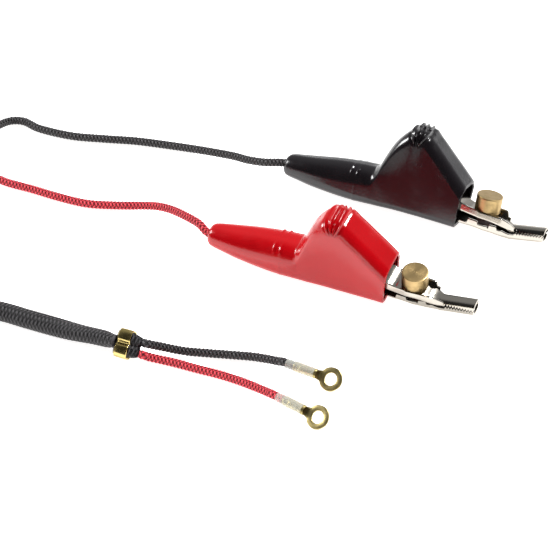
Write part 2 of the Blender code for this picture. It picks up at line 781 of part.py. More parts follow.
def smooth_route(points, spacing):
    """A Catmull-Rom curve through the points, read at even steps about one spacing apart."""
    path = [Vector(p) for p in points]
    path = [path[0] * 2 - path[1]] + path + [path[-1] * 2 - path[-2]]
    fine = []
    for p0, p1, p2, p3 in zip(path, path[1:], path[2:], path[3:]):
        for i in range(24):
            t = i / 24
            a = 2 * p1 + (p2 - p0) * t
            b = (2 * p0 - 5 * p1 + 4 * p2 - p3) * t * t
            c = (3 * p1 - p0 - 3 * p2 + p3) * t * t * t
            fine.append((a + b + c) / 2)
    fine.append(path[-2])
    lengths = [0.0]
    for p, q in zip(fine, fine[1:]):
        lengths.append(lengths[-1] + (q - p).length)
    count = max(2, round(lengths[-1] / spacing))
    route = []
    index = 0
    for i in range(count + 1):
        target = lengths[-1] * i / count
        while index < len(lengths) - 2 and lengths[index + 1] < target:
            index += 1
        share = (target - lengths[index]) / (lengths[index + 1] - lengths[index])
        route.append(tuple(fine[index].lerp(fine[index + 1], share)))
    return route


def make_cord(name, points, diameter, root, material):
    route = smooth_route(points, diameter * 2.3)
    return wire(name, route, diameter, root, material, 2)


def coil_point(angle, radius, z):
    """A point round the coil's centre, the angle in degrees from +X."""
    turn = math.radians(angle)
    return (COIL_CENTRE[0] + radius * math.cos(turn), COIL_CENTRE[1] + radius * math.sin(turn), z)


def clip_lead_route(colour):
    start = [clip_point(colour, *point) for point in CLIP_LEAD_INSIDE]
    ferrule = CLIP_FERRULE
    side = 1 if colour == "black" else -1
    end_x = FERRULE_LENGTH / 2 + SLEEVE_END_LENGTH + GAP
    end = [ferrule_point(ferrule, end_x + 5.0, side), ferrule_point(ferrule, end_x, side)]
    return start + CLIP_LEAD_FLOOR[colour] + end


# The lead's way out of the boot in the clip's frame.
CLIP_LEAD_INSIDE = ((LEAD_END_X, 0, 2.2), (12.0, 0, 1.5), (4.0, 0, 1.05), (-1.0, 0, 0.95))

# Free stretches of the leads, laid on the floor between the boots, the ferrules and the lugs.
CLIP_LEAD_FLOOR = {
    "red": [
        (-61.1, 0.9, 7.7),
        (-66.1, 6.6, 7.0),
        (-71.1, 12.7, 5.2),
        (-76.0, 16.8, 3.6),
        (-81.0, 18.8, 2.4),
        (-90.8, 20.1, 1.6),
        (-100.6, 21.3, FLOOR_LEAD_Z),
        (-110.6, 25.2, FLOOR_LEAD_Z),
        (-120.7, 30.2, FLOOR_LEAD_Z),
        (-130.8, 35.0, FLOOR_LEAD_Z),
        (-138.5, 42.0, 1.8),
    ],
    "black": [
        (-38.9, 40.0, 6.0),
        (-44.6, 43.2, 4.8),
        (-50.3, 47.5, 3.6),
        (-61.8, 53.1, 2.2),
        (-73.3, 57.1, 1.5),
        (-84.9, 59.7, FLOOR_LEAD_Z),
        (-96.4, 61.1, FLOOR_LEAD_Z),
        (-108.0, 62.9, FLOOR_LEAD_Z),
        (-119.7, 67.5, FLOOR_LEAD_Z),
        (-125.8, 72.2, FLOOR_LEAD_Z),
        (-131.5, 72.0, 1.6),
        (-138.0, 64.5, 3.0),
    ],
}
LUG_LEAD_FLOOR = {
    "red": [
        (-75.9, -65.9, 2.3),
        (-68.0, -67.9, 1.6),
        (-60.1, -71.1, FLOOR_LEAD_Z),
        (-52.2, -74.3, FLOOR_LEAD_Z),
        (-44.4, -78.9, 1.9),
        (-37.6, -84.6, 2.9),
    ],
    "black": [
        (-72.7, -62.8, 4.4),
        (-64.8, -62.9, 2.5),
        (-57.0, -62.8, 1.55),
        (-49.1, -63.7, FLOOR_LEAD_Z),
        (-41.2, -65.2, 1.8),
        (-33.4, -69.0, 3.0),
    ],
}


def lug_lead_route(colour):
    side = 1 if colour == "black" else -1
    start_x = FERRULE_LENGTH / 2 + SLEEVE_END_LENGTH + 2 * GAP
    start = [ferrule_point(LUG_FERRULE, start_x + ahead, side) for ahead in (0.0, 1.5)]
    end = [lug_point(colour, LUG_LEAD_END_X - back) for back in (4.5, 2.0, 0.0)]
    return start + LUG_LEAD_FLOOR[colour] + end


def sleeve_routes():
    """The sleeve's two stretches: from the lugs' ferrule to the coil, and from it to the clips' ferrule."""
    back = FERRULE_LENGTH / 2 + 0.5 + GAP
    lug_start = tuple(ferrule_matrix(LUG_FERRULE) @ place(-back, 0, 0) / MM)
    clip_start = tuple(ferrule_matrix(CLIP_FERRULE) @ place(-back, 0, 0) / MM)
    lugs = [
        lug_start,
        (-93.2, -57.2, 3.9),
        (-101.3, -53.9, 3.5),
        (-109.4, -50.2, FLOOR_SLEEVE_Z),
        (-117.5, -46.6, FLOOR_SLEEVE_Z),
        (-125.8, -42.8, FLOOR_SLEEVE_Z),
        (-141.0, -38.0, 3.6),
        (-158.0, -35.5, 6.0),
    ]
    clips = [
        clip_start,
        (-165.0, 49.6, 4.0),
        (-172.0, 47.5, 4.0),
        (-180.0, 45.6, 3.9),
    ]
    return lugs, clips


def make_coil(root):
    """The hank of sleeve: one turned ring, and the tie round its bundle."""
    outer = COIL_R + COIL_WIDTH / 2
    inner = COIL_R - COIL_WIDTH / 2
    low = COIL_BASE_Z
    high = low + COIL_HEIGHT
    cut = COIL_CHAMFER
    profile = [
        (inner, low + cut),
        (inner, high - cut),
        (inner + cut, high),
        (outer - cut, high),
        (outer, high - cut),
        (outer, low + cut),
        (outer - cut, low),
        (inner + cut, low),
        (inner, low + cut),
    ]
    ring = turned("sleeve_coil", profile, 30, root, MATERIALS["sleeve_braid"], (*COIL_CENTRE, 0))
    smooth(ring)
    near = -inner + 3 * GAP
    far = -outer - GAP
    outline = [(near, low - GAP), (far, low - GAP), (far, high + GAP), (near, high + GAP)]
    half = TIE_WIDTH / 2
    rows = [[(r, y, z) for r, z in outline] for y in (-half, half)]
    tie = add_object("coil_tie", mesh_from_rows("coil_tie", rows, closed=True), root, MATERIALS["tie"])
    tie.location = place(*COIL_CENTRE, 0)
    return thicken(tie, TIE_THICKNESS, 1)


def make_cords(root):
    braid = MATERIALS["sleeve_braid"]
    for colour in CLIPS:
        lead = MATERIALS[f"{colour}_braid"]
        make_cord(f"{colour}_clip_lead", clip_lead_route(colour), LEAD_D, root, lead)
        make_cord(f"{colour}_lug_lead", lug_lead_route(colour), LEAD_D, root, lead)
    lugs, clips = sleeve_routes()
    make_cord("sleeve_to_lugs", lugs, SLEEVE_D, root, braid)
    make_cord("sleeve_to_clips", clips, SLEEVE_D, root, braid)
    make_coil(root)
    for name, settings in (("lug_ferrule", LUG_FERRULE), ("clip_ferrule", CLIP_FERRULE)):
        make_ferrule(name, settings, root)
        make_sleeve_end(name.replace("ferrule", "sleeve_end"), settings, root)


def make_materials():
    made = {
        "nickel": make_material("nickel", (0.72, 0.70, 0.66), 0.22, 1.0),
        "steel": make_material("steel", (0.55, 0.55, 0.56), 0.3, 1.0),
        "brass": make_material("brass", (0.70, 0.50, 0.20), 0.28, 1.0),
        "copper": make_material("copper", (0.80, 0.42, 0.26), 0.35, 1.0),
        "fibre": make_material("fibre", (0.16, 0.05, 0.03), 0.6, 0.0),
        "clear": make_material("clear", (0.95, 0.95, 0.9), 0.1, 0.0, 0.35),
        "sleeve_braid": make_material("sleeve_braid", (0.02, 0.02, 0.022), 0.6, 0.0),
        "tie": make_material("tie", (0.03, 0.03, 0.03), 0.5, 0.0),
    }
    for colour in CLIPS:
        made[f"{colour}_vinyl"] = make_material(f"{colour}_vinyl", BOOT_COLOURS[colour], 0.18, 0.0)
        made[f"{colour}_braid"] = make_material(f"{colour}_braid", BRAID_COLOURS[colour], 0.6, 0.0)
    return made


clear_scene()
PARTS = make_collection("alligator_clip_lead")
CUTTERS = make_collection("cutters")
MATERIALS = make_materials()
ROOT = add_empty("clip_lead", Matrix.Translation(place(*CLIPS_CENTRE)))
for clip_colour in CLIPS:
    make_clip(clip_colour, ROOT)
    make_lug(clip_colour, ROOT)
make_cords(ROOT)
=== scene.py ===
"""Looks of a test-set cord: two booted bed-of-nails clips on one split braided cord, with two ring lugs.

Sizes are in millimetres in each piece's own frame and reach the scene in metres, by way of a Stance. A
clip's own frame has x from the boot's tail to the nose, y to the far side and z up. A lug's has x towards
its ring's far edge.
"""

import logging
import math
from collections.abc import Sequence
from dataclasses import dataclass, field
from enum import Enum
from typing import Any, ClassVar

import bmesh
import bpy
import numpy as np
from mathutils import Matrix, Vector
from numpy.typing import NDArray


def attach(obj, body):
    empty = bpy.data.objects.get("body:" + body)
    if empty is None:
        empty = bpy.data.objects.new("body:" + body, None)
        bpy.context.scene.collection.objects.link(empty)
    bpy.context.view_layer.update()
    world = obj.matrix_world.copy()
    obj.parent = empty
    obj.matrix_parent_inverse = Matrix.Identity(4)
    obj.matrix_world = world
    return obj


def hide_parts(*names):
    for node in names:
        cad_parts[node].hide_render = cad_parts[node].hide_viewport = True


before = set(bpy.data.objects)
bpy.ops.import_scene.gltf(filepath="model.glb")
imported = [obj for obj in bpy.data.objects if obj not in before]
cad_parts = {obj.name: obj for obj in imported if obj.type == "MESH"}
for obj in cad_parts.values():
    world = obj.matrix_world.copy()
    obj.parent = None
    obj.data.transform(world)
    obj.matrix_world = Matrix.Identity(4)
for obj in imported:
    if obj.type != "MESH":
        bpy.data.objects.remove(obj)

Array = NDArray[np.float64]
Point = tuple[float, float, float]
Colour = tuple[float, float, float]
LOG = logging.getLogger("clip_lead")
MM = 0.001
CENTRE = np.array((-0.4, 1.29, 0.0))
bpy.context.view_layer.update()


# ---------------------------------------------------------------- shader maths


class Field:
    """A number that varies over a surface: a wrapped socket, on which Python's operators add Math nodes."""

    def __init__(self, graph: "Graph", socket: bpy.types.NodeSocket) -> None:
        """Keep the graph that the socket belongs to."""
        self.graph = graph
        self.socket = socket

    def _math(self, operation: str, *others: "Field | float", own_place: int = 0) -> "Field":
        """Add a Math node.

        Args:
            operation: the node's operation.
            others: the other operands in their order.
            own_place: which input this field feeds.

        Returns:
            The node's result as a field.
        """
        operands: list[Any] = list(others)
        operands.insert(own_place, self)
        return self.graph.field("ShaderNodeMath", {"operation": operation}, dict(enumerate(operands)))

    def __add__(self, other: "Field | float") -> "Field":
        """Sum."""
        return self._math("ADD", other)

    __radd__ = __add__

    def __mul__(self, other: "Field | float") -> "Field":
        """Product."""
        return self._math("MULTIPLY", other)

    __rmul__ = __mul__

    def __sub__(self, other: "Field | float") -> "Field":
        """Difference."""
        return self._math("SUBTRACT", other)

    def __rsub__(self, other: float) -> "Field":
        """Difference from a number."""
        return self._math("SUBTRACT", other, own_place=1)

    def cos(self) -> "Field":
        """Cosine."""
        return self._math("COSINE")

    def absolute(self) -> "Field":
        """Size without sign."""
        return self._math("ABSOLUTE")

    def larger(self, other: "Field | float") -> "Field":
        """The larger of the two."""
        return self._math("MAXIMUM", other)

    def rise(self, low: float, high: float) -> "Field":
        """A smooth step from 0 at low to 1 at high."""
        settings = {"interpolation_type": "SMOOTHSTEP"}
        values = {"Value": self, "From Min": low, "From Max": high}
        return self.graph.field("ShaderNodeMapRange", settings, values)


class Graph:
    """One material's or world's nodes."""

    def __init__(self, name: str, world: bool = False) -> None:
        """Make the material or the world with an empty tree."""
        self.owner = (bpy.data.worlds if world else bpy.data.materials).new(name)
        self.owner.use_nodes = True
        self.tree = self.owner.node_tree
        self.tree.nodes.clear()

    def add(
        self, kind: str, settings: dict[str, Any] | None = None, values: dict[str | int, Any] | None = None
    ) -> bpy.types.Node:
        """Add any node.

        Args:
            kind: the node's type.
            settings: its properties, set first.
            values: its inputs by name or place, each a value, a field or a socket.

        Returns:
            The node.
        """
        node = self.tree.nodes.new(kind)
        for key, value in (settings or {}).items():
            setattr(node, key, value)
        for key, value in (values or {}).items():
            value = value.socket if isinstance(value, Field) else value
            if isinstance(value, bpy.types.NodeSocket):
                self.tree.links.new(value, node.inputs[key])
            elif isinstance(value, tuple) and len(value) == 3 and node.inputs[key].type == "RGBA":
                node.inputs[key].default_value = (*value, 1.0)
            else:
                node.inputs[key].default_value = value
        return node

    def field(
        self,
        kind: str,
        settings: dict[str, Any] | None = None,
        values: dict[str | int, Any] | None = None,
        out: int | str = 0,
    ) -> Field:
        """Add a node and wrap one of its outputs as a field."""
        return Field(self, self.add(kind, settings, values).outputs[out])

    def uv(self) -> tuple[Field, Field]:
        """The piece's own map: millimetres along it, and its share of the way round."""
        socket = self.add("ShaderNodeUVMap", {"uv_map": "UVMap"}).outputs[0]
        split = self.add("ShaderNodeSeparateXYZ", None, {0: socket})
        return Field(self, split.outputs[0]), Field(self, split.outputs[1])

    def noise(self, scale: float, detail: float = 3.0, stretch: Point = (1.0, 1.0, 1.0)) -> Field:
        """Noise over the object's own coordinates, about 0.5, with scale in features a metre."""
        where = self.add("ShaderNodeTexCoord").outputs["Object"]
        mapped = self.add("ShaderNodeMapping", None, {"Vector": where, "Scale": stretch}).outputs[0]
        return self.field("ShaderNodeTexNoise", None, {"Vector": mapped, "Scale": scale, "Detail": detail})

    def mix(self, share: Field | float, first: Any, second: Any) -> bpy.types.NodeSocket:
        """A colour between two, by a share from 0 to 1."""
        node = self.add("ShaderNodeMix", {"data_type": "RGBA"}, {0: share, 6: first, 7: second})
        return node.outputs[2]

    def bump(self, height: Field, strength: float, distance: float) -> bpy.types.NodeSocket:
        """A normal from a height from 0 to 1 that is worth this distance in metres."""
        values = {"Strength": strength, "Distance": distance, "Height": height}
        return self.add("ShaderNodeBump", None, values).outputs[0]

    def principled(self, values: dict[str | int, Any]) -> bpy.types.Material:
        """End the tree with a Principled shader of these inputs."""
        shader = self.add("ShaderNodeBsdfPrincipled", None, values)
        self.add("ShaderNodeOutputMaterial", None, {"Surface": shader.outputs[0]})
        return self.owner


# ---------------------------------------------------------------- finishes


@dataclass(frozen=True)
class Vinyl:
    """Glossy dipped vinyl with slow mottling, faint orange peel and a few dull patches."""

    colour: Colour
    deep: Colour
    roughness: float = 0.16

    def material(self, name: str) -> bpy.types.Material:
        """The finish as a material."""
        graph = Graph(name)
        mottle = graph.noise(90.0, 2.0).rise(0.35, 0.7)
        peel = graph.noise(1100.0, 2.0)
        patches = graph.noise(160.0, 5.0).rise(0.52, 0.75)
        return graph.principled(
            {
                "Base Color": graph.mix(mottle * 0.5, self.colour, self.deep),
                "Roughness": patches * 0.10 + self.roughness,
                "Normal": graph.bump(peel, 0.12, 0.0002),
                "IOR": 1.52,
            }
        )


@dataclass(frozen=True)
class Weave:
    """A braid's strands: their pitch along the cord in millimetres, and how many wind round it each way."""

    pitch: float
    strands: int

    def height(self, along: Array, angle: Array) -> Array:
        """The weave's height from 0 to 1.

        A strand's height is the cosine of its phase. The phases grow along the cord and turn opposite ways
        round it, and the product of the two cosines says which family lies on top.
        """
        advance, turn = along * np.pi / self.pitch, angle * self.strands / 2
        first, second = np.cos(advance + turn), np.cos(advance - turn)
        over = first * second * 0.35
        return np.maximum(np.abs(first) * (0.65 + over), np.abs(second) * (0.65 - over))


LEAD_WEAVE = Weave(1.3, 4)
SLEEVE_WEAVE = Weave(1.38, 6)


@dataclass(frozen=True)
class Braid:
    """Braided thread: two families of strands that cross, with painted shade in the gaps and a painted
    highlight on the crests.
    """

    thread: Colour
    # gap: a dark copy of the thread's colour, painted shade between the strands.
    gap: Colour
    painted_crest_highlight: Colour
    weave: Weave
    roughness: float = 0.5

    def material(self, name: str) -> bpy.types.Material:
        """The finish as a material, from the same height as the weave's: its crests are painted lighter as a
        highlight and its gaps darker as shade.

        Each strand is a flat band of yarns, so the product of a finer cosine of each phase stripes it.
        """
        graph = Graph(name)
        along, round_it = graph.uv()
        advance = along * (math.pi / self.weave.pitch)
        turn = round_it * (math.pi * self.weave.strands)
        first = (advance + turn).cos()
        second = (advance - turn).cos()
        over = first * second
        height = (first.absolute() * (0.65 + 0.35 * over)).larger(second.absolute() * (0.65 - 0.35 * over))
        fibre = graph.noise(5200.0, 2.0)
        yarns = ((advance + turn) * 4.0).cos() * ((advance - turn) * 4.0).cos()
        dirt = graph.noise(300.0, 3.0).rise(0.4, 0.8)
        thread = graph.mix(dirt * 0.3, self.thread, self.gap)
        # Painted highlight: the strands' crests are mixed towards a light colour that stands in for their
        # glints.
        lit = graph.mix((height + fibre * 0.2 + yarns * 0.05).rise(0.70, 1.02), thread, self.painted_crest_highlight)
        return graph.principled(
            {
                # Painted shade: where the weave is low, between strands, the colour goes to the dark gap
                # colour.
                "Base Color": graph.mix(height.rise(0.40, 0.66), self.gap, lit),
                "Roughness": fibre * 0.2 + self.roughness,
                "Normal": graph.bump(height + fibre * 0.12 + yarns * 0.06, 0.9, 0.0004),
                "Specular IOR Level": 0.4,
            }
        )


@dataclass(frozen=True)
class Plate:
    """Bright nickel plate, with stamping lines along the piece and a warm, slightly cloudy bloom."""

    colour: Colour = (0.50, 0.465, 0.41)
    tarnish: Colour = (0.30, 0.26, 0.21)
    roughness: float = 0.09

    def material(self, name: str) -> bpy.types.Material:
        """The finish as a material."""
        graph = Graph(name)
        bloom = graph.noise(140.0, 4.0).rise(0.45, 0.8)
        specks = graph.noise(1500.0, 3.0).rise(0.62, 0.8)
        lines = graph.noise(260.0, 2.0, (1.0, 5.0, 5.0))
        return graph.principled(
            {
                "Base Color": graph.mix(bloom * 0.35 + specks * 0.3, self.colour, self.tarnish),
                "Metallic": 1.0,
                "Roughness": bloom * 0.08 + lines * 0.06 + self.roughness,
                "Normal": graph.bump(lines, 0.15, 0.0001),
            }
        )


class BrassCut(Enum):
    """How a brass piece was made, which sets the lines left on it."""

    TURNED = "rings and circumferential lines from the lathe"
    STAMPED = "rolled strip with a dull, blotchy face"


@dataclass(frozen=True)
class Brass:
    """Brass with tool marks and tarnish."""

    cut: BrassCut
    colour: Colour
    tarnish: Colour
    roughness: float = 0.24

    def material(self, name: str) -> bpy.types.Material:
        """The finish as a material."""
        graph = Graph(name)
        blotch = graph.noise(420.0, 4.0).rise(0.42, 0.72)
        if self.cut is BrassCut.TURNED:
            along, _ = graph.uv()
            lines = (along * 14.0).cos() * 0.3 + (along * 37.0).cos() * 0.2
        else:
            lines = graph.noise(1400.0, 4.0, (0.4, 1.0, 1.0))
        return graph.principled(
            {
                "Base Color": graph.mix(blotch * 0.55, self.colour, self.tarnish),
                "Metallic": 1.0,
                "Roughness": blotch * 0.14 + self.roughness,
                "Normal": graph.bump(lines, 0.35, 0.00006),
            }
        )


@dataclass(frozen=True)
class PlainMetal:
    """Drawn or machined metal inside the clip, with fine scratches."""

    colour: Colour
    roughness: float

    def material(self, name: str) -> bpy.types.Material:
        """The finish as a material."""
        graph = Graph(name)
        scratches = graph.noise(2200.0, 3.0, (1.0, 0.2, 1.0))
        dull = tuple(channel * 0.55 for channel in self.colour)
        return graph.principled(
            {
                "Base Color": graph.mix(scratches.rise(0.5, 0.8), self.colour, dull),
                "Metallic": 1.0,
                "Roughness": scratches * 0.25 + self.roughness,
                "Normal": graph.bump(scratches, 0.2, 0.00005),
            }
        )


@dataclass(frozen=True)
class ClearTube:
    """Thin clear vinyl tube with small flow marks."""

    tint: Colour = (0.93, 0.94, 0.86)
    alpha: float = 0.26

    def material(self, name: str) -> bpy.types.Material:
        """The finish as a material."""
        graph = Graph(name)
        marks = graph.noise(700.0, 3.0, (0.3, 1.0, 1.0))
        return graph.principled(
            {
                "Base Color": self.tint,
                "Roughness": marks.rise(0.5, 0.9) * 0.15 + 0.05,
                "Alpha": marks.rise(0.55, 0.8) * 0.12 + self.alpha,
                "Normal": graph.bump(marks, 0.2, 0.0001),
                "Specular IOR Level": 0.9,
            }
        )


@dataclass(frozen=True)
class Matte:
    """Dull woven or pressed stuff, such as the tie's tape and the fibre pad."""

    colour: Colour
    light: Colour
    grain: float

    def material(self, name: str) -> bpy.types.Material:
        """The finish as a material."""
        graph = Graph(name)
        grain = graph.noise(self.grain, 4.0)
        return graph.principled(
            {
                "Base Color": graph.mix(grain.rise(0.4, 0.7), self.colour, self.light),
                "Roughness": grain * 0.2 + 0.6,
                "Normal": graph.bump(grain, 0.5, 0.0002),
            }
        )


# ---------------------------------------------------------------- numpy surfaces


@dataclass(frozen=True)
class Stance:
    """Where a sub-assembly stands: its origin in millimetres, and its three turns in degrees."""

    at: Point
    yaw: float
    nose_down: float = 0.0
    roll: float = 0.0

    def place(self, points: Array) -> Array:
        """Carry points from the sub-assembly's millimetres to the scene's metres.

        The points are rolled about x, dipped about y and turned about z, then moved to the origin's place.
        """
        angles = ((self.yaw, "Z"), (self.nose_down, "Y"), (self.roll, "X"))
        yaw, dip, roll = (np.array(Matrix.Rotation(math.radians(a), 3, axis)) for a, axis in angles)
        return (points @ (yaw @ dip @ roll).T + np.array(self.at) + CENTRE) * MM


@dataclass(frozen=True)
class Skin:
    """A grid of points in metres, of rows by columns, that may close on itself either way or end in caps."""

    points: Array
    round_columns: bool = True
    round_rows: bool = False
    capped: bool = False
    along: Array | None = None

    def corners(self) -> tuple[Array, NDArray[np.int64], Array]:
        """The skin as vertices, quads and the quads' map.

        Each quad joins a point to its neighbours in the next row and column. The map's first number is the
        given or the mean distance along the rows in millimetres, and its second is the share of the columns.
        """
        rows, columns = self.points.shape[:2]
        last_row = rows if self.round_rows else rows - 1
        last_column = columns if self.round_columns else columns - 1
        i, j = (a.ravel() for a in np.meshgrid(np.arange(last_row), np.arange(last_column), indexing="ij"))
        near, far = (i + 1) % rows, (j + 1) % columns
        here, ahead = i * columns, near * columns
        quads = np.stack([here + j, ahead + j, ahead + far, here + far], axis=1)
        steps = np.linalg.norm(np.diff(self.points, axis=0, append=self.points[:1]), axis=2)
        mean_steps = steps.mean(axis=1) / MM
        along = np.concatenate([[0.0], np.cumsum(mean_steps)]) if self.along is None else self.along
        share = np.arange(columns + 1) / last_column
        map_rows, map_columns = np.stack([i, i + 1, i + 1, i], 1), np.stack([j, j, j + 1, j + 1], 1)
        return self.points.reshape(-1, 3), quads, np.stack([along[map_rows], share[map_columns]], axis=2)

    def cap(self, first: bool, centre_index: int) -> tuple[Array, NDArray[np.int64]]:
        """A fan from the middle of an end row: the middle point and the triangles."""
        rows, columns = self.points.shape[:2]
        start = 0 if first else (rows - 1) * columns
        j = np.arange(columns)
        fan = np.stack([start + j, start + (j + 1) % columns, np.full(columns, centre_index)], axis=1)
        return self.points[0 if first else -1].mean(axis=0), fan


def build_piece(
    name: str, skins: Sequence[Skin], material: bpy.types.Material, sharp: float = 38.0
) -> bpy.types.Object:
    """Make one mesh object at the origin from skins.

    Args:
        name: the piece's name.
        skins: its surfaces.
        material: its finish.
        sharp: the angle in degrees past which an edge shades sharp.

    Returns:
        The object, smooth shaded, with its map and with its faces outwards.
    """
    vertices: list[Array] = []
    faces: list[list[int]] = []
    maps: list[Array] = []
    count = 0
    for skin in skins:
        points, quads, quad_map = skin.corners()
        vertices.append(points)
        faces += (quads + count).tolist()
        maps.append(quad_map.reshape(-1, 2))
        added = len(points)
        for first in (True, False) if skin.capped else ():
            centre, fan = skin.cap(first, added)
            vertices.append(centre[None])
            faces += (fan + count).tolist()
            maps.append(np.tile(quad_map[0 if first else -1, 0], (fan.size, 1)))
            added += 1
        count += added
    mesh = bpy.data.meshes.new(name)
    mesh.from_pydata(np.concatenate(vertices).tolist(), [], faces)
    layer = mesh.uv_layers.new(name="UVMap")
    layer.data.foreach_set("uv", np.concatenate(maps).astype(np.float32).ravel())
    work = bmesh.new()
    work.from_mesh(mesh)
    bmesh.ops.recalc_face_normals(work, faces=work.faces)
    work.to_mesh(mesh)
    work.free()
    mesh.shade_smooth()
    mesh.set_sharp_from_angle(angle=math.radians(sharp))
    mesh.materials.append(material)
    piece = bpy.data.objects.new(name, mesh)
    bpy.context.scene.collection.objects.link(piece)
    LOG.info("%s: %d faces", name, len(mesh.polygons))
    return piece


def unit(vectors: Array) -> Array:
    """Vectors at length one."""
    return vectors / np.maximum(np.linalg.norm(vectors, axis=-1, keepdims=True), 1e-12)


def step_between(low: float, high: float, values: Array) -> Array:
    """A smooth step from 0 at low to 1 at high: three squares less two cubes of the share."""
    share = np.clip((values - low) / (high - low), 0.0, 1.0)
    return share * share * (3.0 - 2.0 * share)


def hump(values: Array, centre: float, width: float) -> Array:
    """A bell of height one: e to the minus square of the distance over the width."""
    return np.exp(-(((values - centre) / width) ** 2))


def monotone(places: Array, table: Array, at: Array) -> Array:
    """Read a table smoothly, with no overshoot.

    Each span is a Hermite cubic. A knot's slope is the harmonic mean of its two spans' slopes, or none where
    they differ in sign.

    Args:
        places: the rows' places, growing.
        table: rows by values.
        at: where to read.

    Returns:
        One row a reading.
    """
    gaps = np.diff(places)[:, None]
    slopes = np.diff(table, axis=0) / gaps
    before, after = slopes[:-1], slopes[1:]
    safe = np.where(before * after > 0, before + after, 1.0)
    inner = np.where(before * after > 0, 2 * before * after / safe, 0.0)
    knots = np.concatenate([slopes[:1], inner, slopes[-1:]])
    span = np.clip(np.searchsorted(places, at, side="right") - 1, 0, len(places) - 2)
    gap = gaps[span]
    t = ((at - places[span])[:, None]) / gap
    left = table[span] * (1 + 2 * t) * (1 - t) ** 2 + knots[span] * gap * t * (1 - t) ** 2
    return left + table[span + 1] * t * t * (3 - 2 * t) + knots[span + 1] * gap * t * t * (t - 1)


def smooth_route(points: Array, spacing: float) -> Array:
    """A Catmull-Rom curve through points, read at even steps of about one spacing."""
    ends = np.concatenate([[2 * points[0] - points[1]], points, [2 * points[-1] - points[-2]]])
    p0, p1, p2, p3 = (ends[k : len(ends) - 3 + k, None] for k in range(4))
    t = (np.arange(24) / 24)[None, :, None]
    squares, cubes = 2 * p0 - 5 * p1 + 4 * p2 - p3, 3 * p1 - p0 - 3 * p2 + p3
    cubic = 2 * p1 + (p2 - p0) * t + squares * t**2 + cubes * t**3
    return evenly(np.concatenate([cubic.reshape(-1, 3) / 2, points[-1:]]), spacing)


def lengths_along(route: Array) -> Array:
    """The distance from a route's start to each of its points."""
    return np.concatenate([[0.0], np.cumsum(np.linalg.norm(np.diff(route, axis=0), axis=1))])


def read_at(route: Array, distances: Array) -> Array:
    """The points of a route at distances from its start."""
    lengths = lengths_along(route)
    return np.stack([np.interp(distances, lengths, route[:, k]) for k in range(3)], axis=1)


def evenly(route: Array, spacing: float) -> Array:
    """A route read again at even steps of about one spacing."""
    whole = lengths_along(route)[-1]
    return read_at(route, np.linspace(0.0, whole, max(2, round(whole / spacing)) + 1))


def across(route: Array) -> tuple[Array, Array]:
    """Two directions across a route at each point: sideways along the floor, and upwards from it."""
    ahead = unit(np.gradient(route, axis=0))
    side = unit(np.cross((0.0, 0.0, 1.0), ahead))
    return side, np.cross(ahead, side)


def revolve(profile: Sequence[tuple[float, float]], sides: int, hollow: bool = False) -> Array:
    """A turned shape about z from (radius, height) points.

    Args:
        profile: the points. A solid starts and ends near the axis, and a hollow piece's last point meets its
            first.
        sides: the number of columns.
        hollow: leaves off the last point, for a skin whose rows close.

    Returns:
        Rows by columns of points: each radius carried round the circle at its height.
    """
    table = np.array(profile[:-1] if hollow else profile)
    angles = np.linspace(0.0, 2 * np.pi, sides, endpoint=False)
    radius, height = table[:, :1], table[:, 1:]
    return np.stack([radius * np.cos(angles), radius * np.sin(angles), height + 0 * angles], axis=2)


def solidify(
    piece: bpy.types.Object, thickness: float, edge: float, inside: bpy.types.Material
) -> bpy.types.Object:
    """Give a sheet its thickness in millimetres and its inner face another finish, and break its edges."""
    # The second finish goes on the inner face; on the jaws it is the near-black plate that paints their
    # shade.
    piece.data.materials.append(inside)
    wall = piece.modifiers.new("wall", "SOLIDIFY")
    wall.thickness = thickness * MM
    wall.offset = 0.0
    wall.material_offset = 1
    rounding = piece.modifiers.new("edge", "BEVEL")
    rounding.width = edge * MM
    rounding.segments = 2
    rounding.limit_method = "ANGLE"
    rounding.angle_limit = math.radians(50)
    return piece


# ---------------------------------------------------------------- shared colours and finishes


class Lead(Enum):
    """The cord's two conductors, by the colour of their braid and boot."""

    RED = "red"
    BLACK = "black"


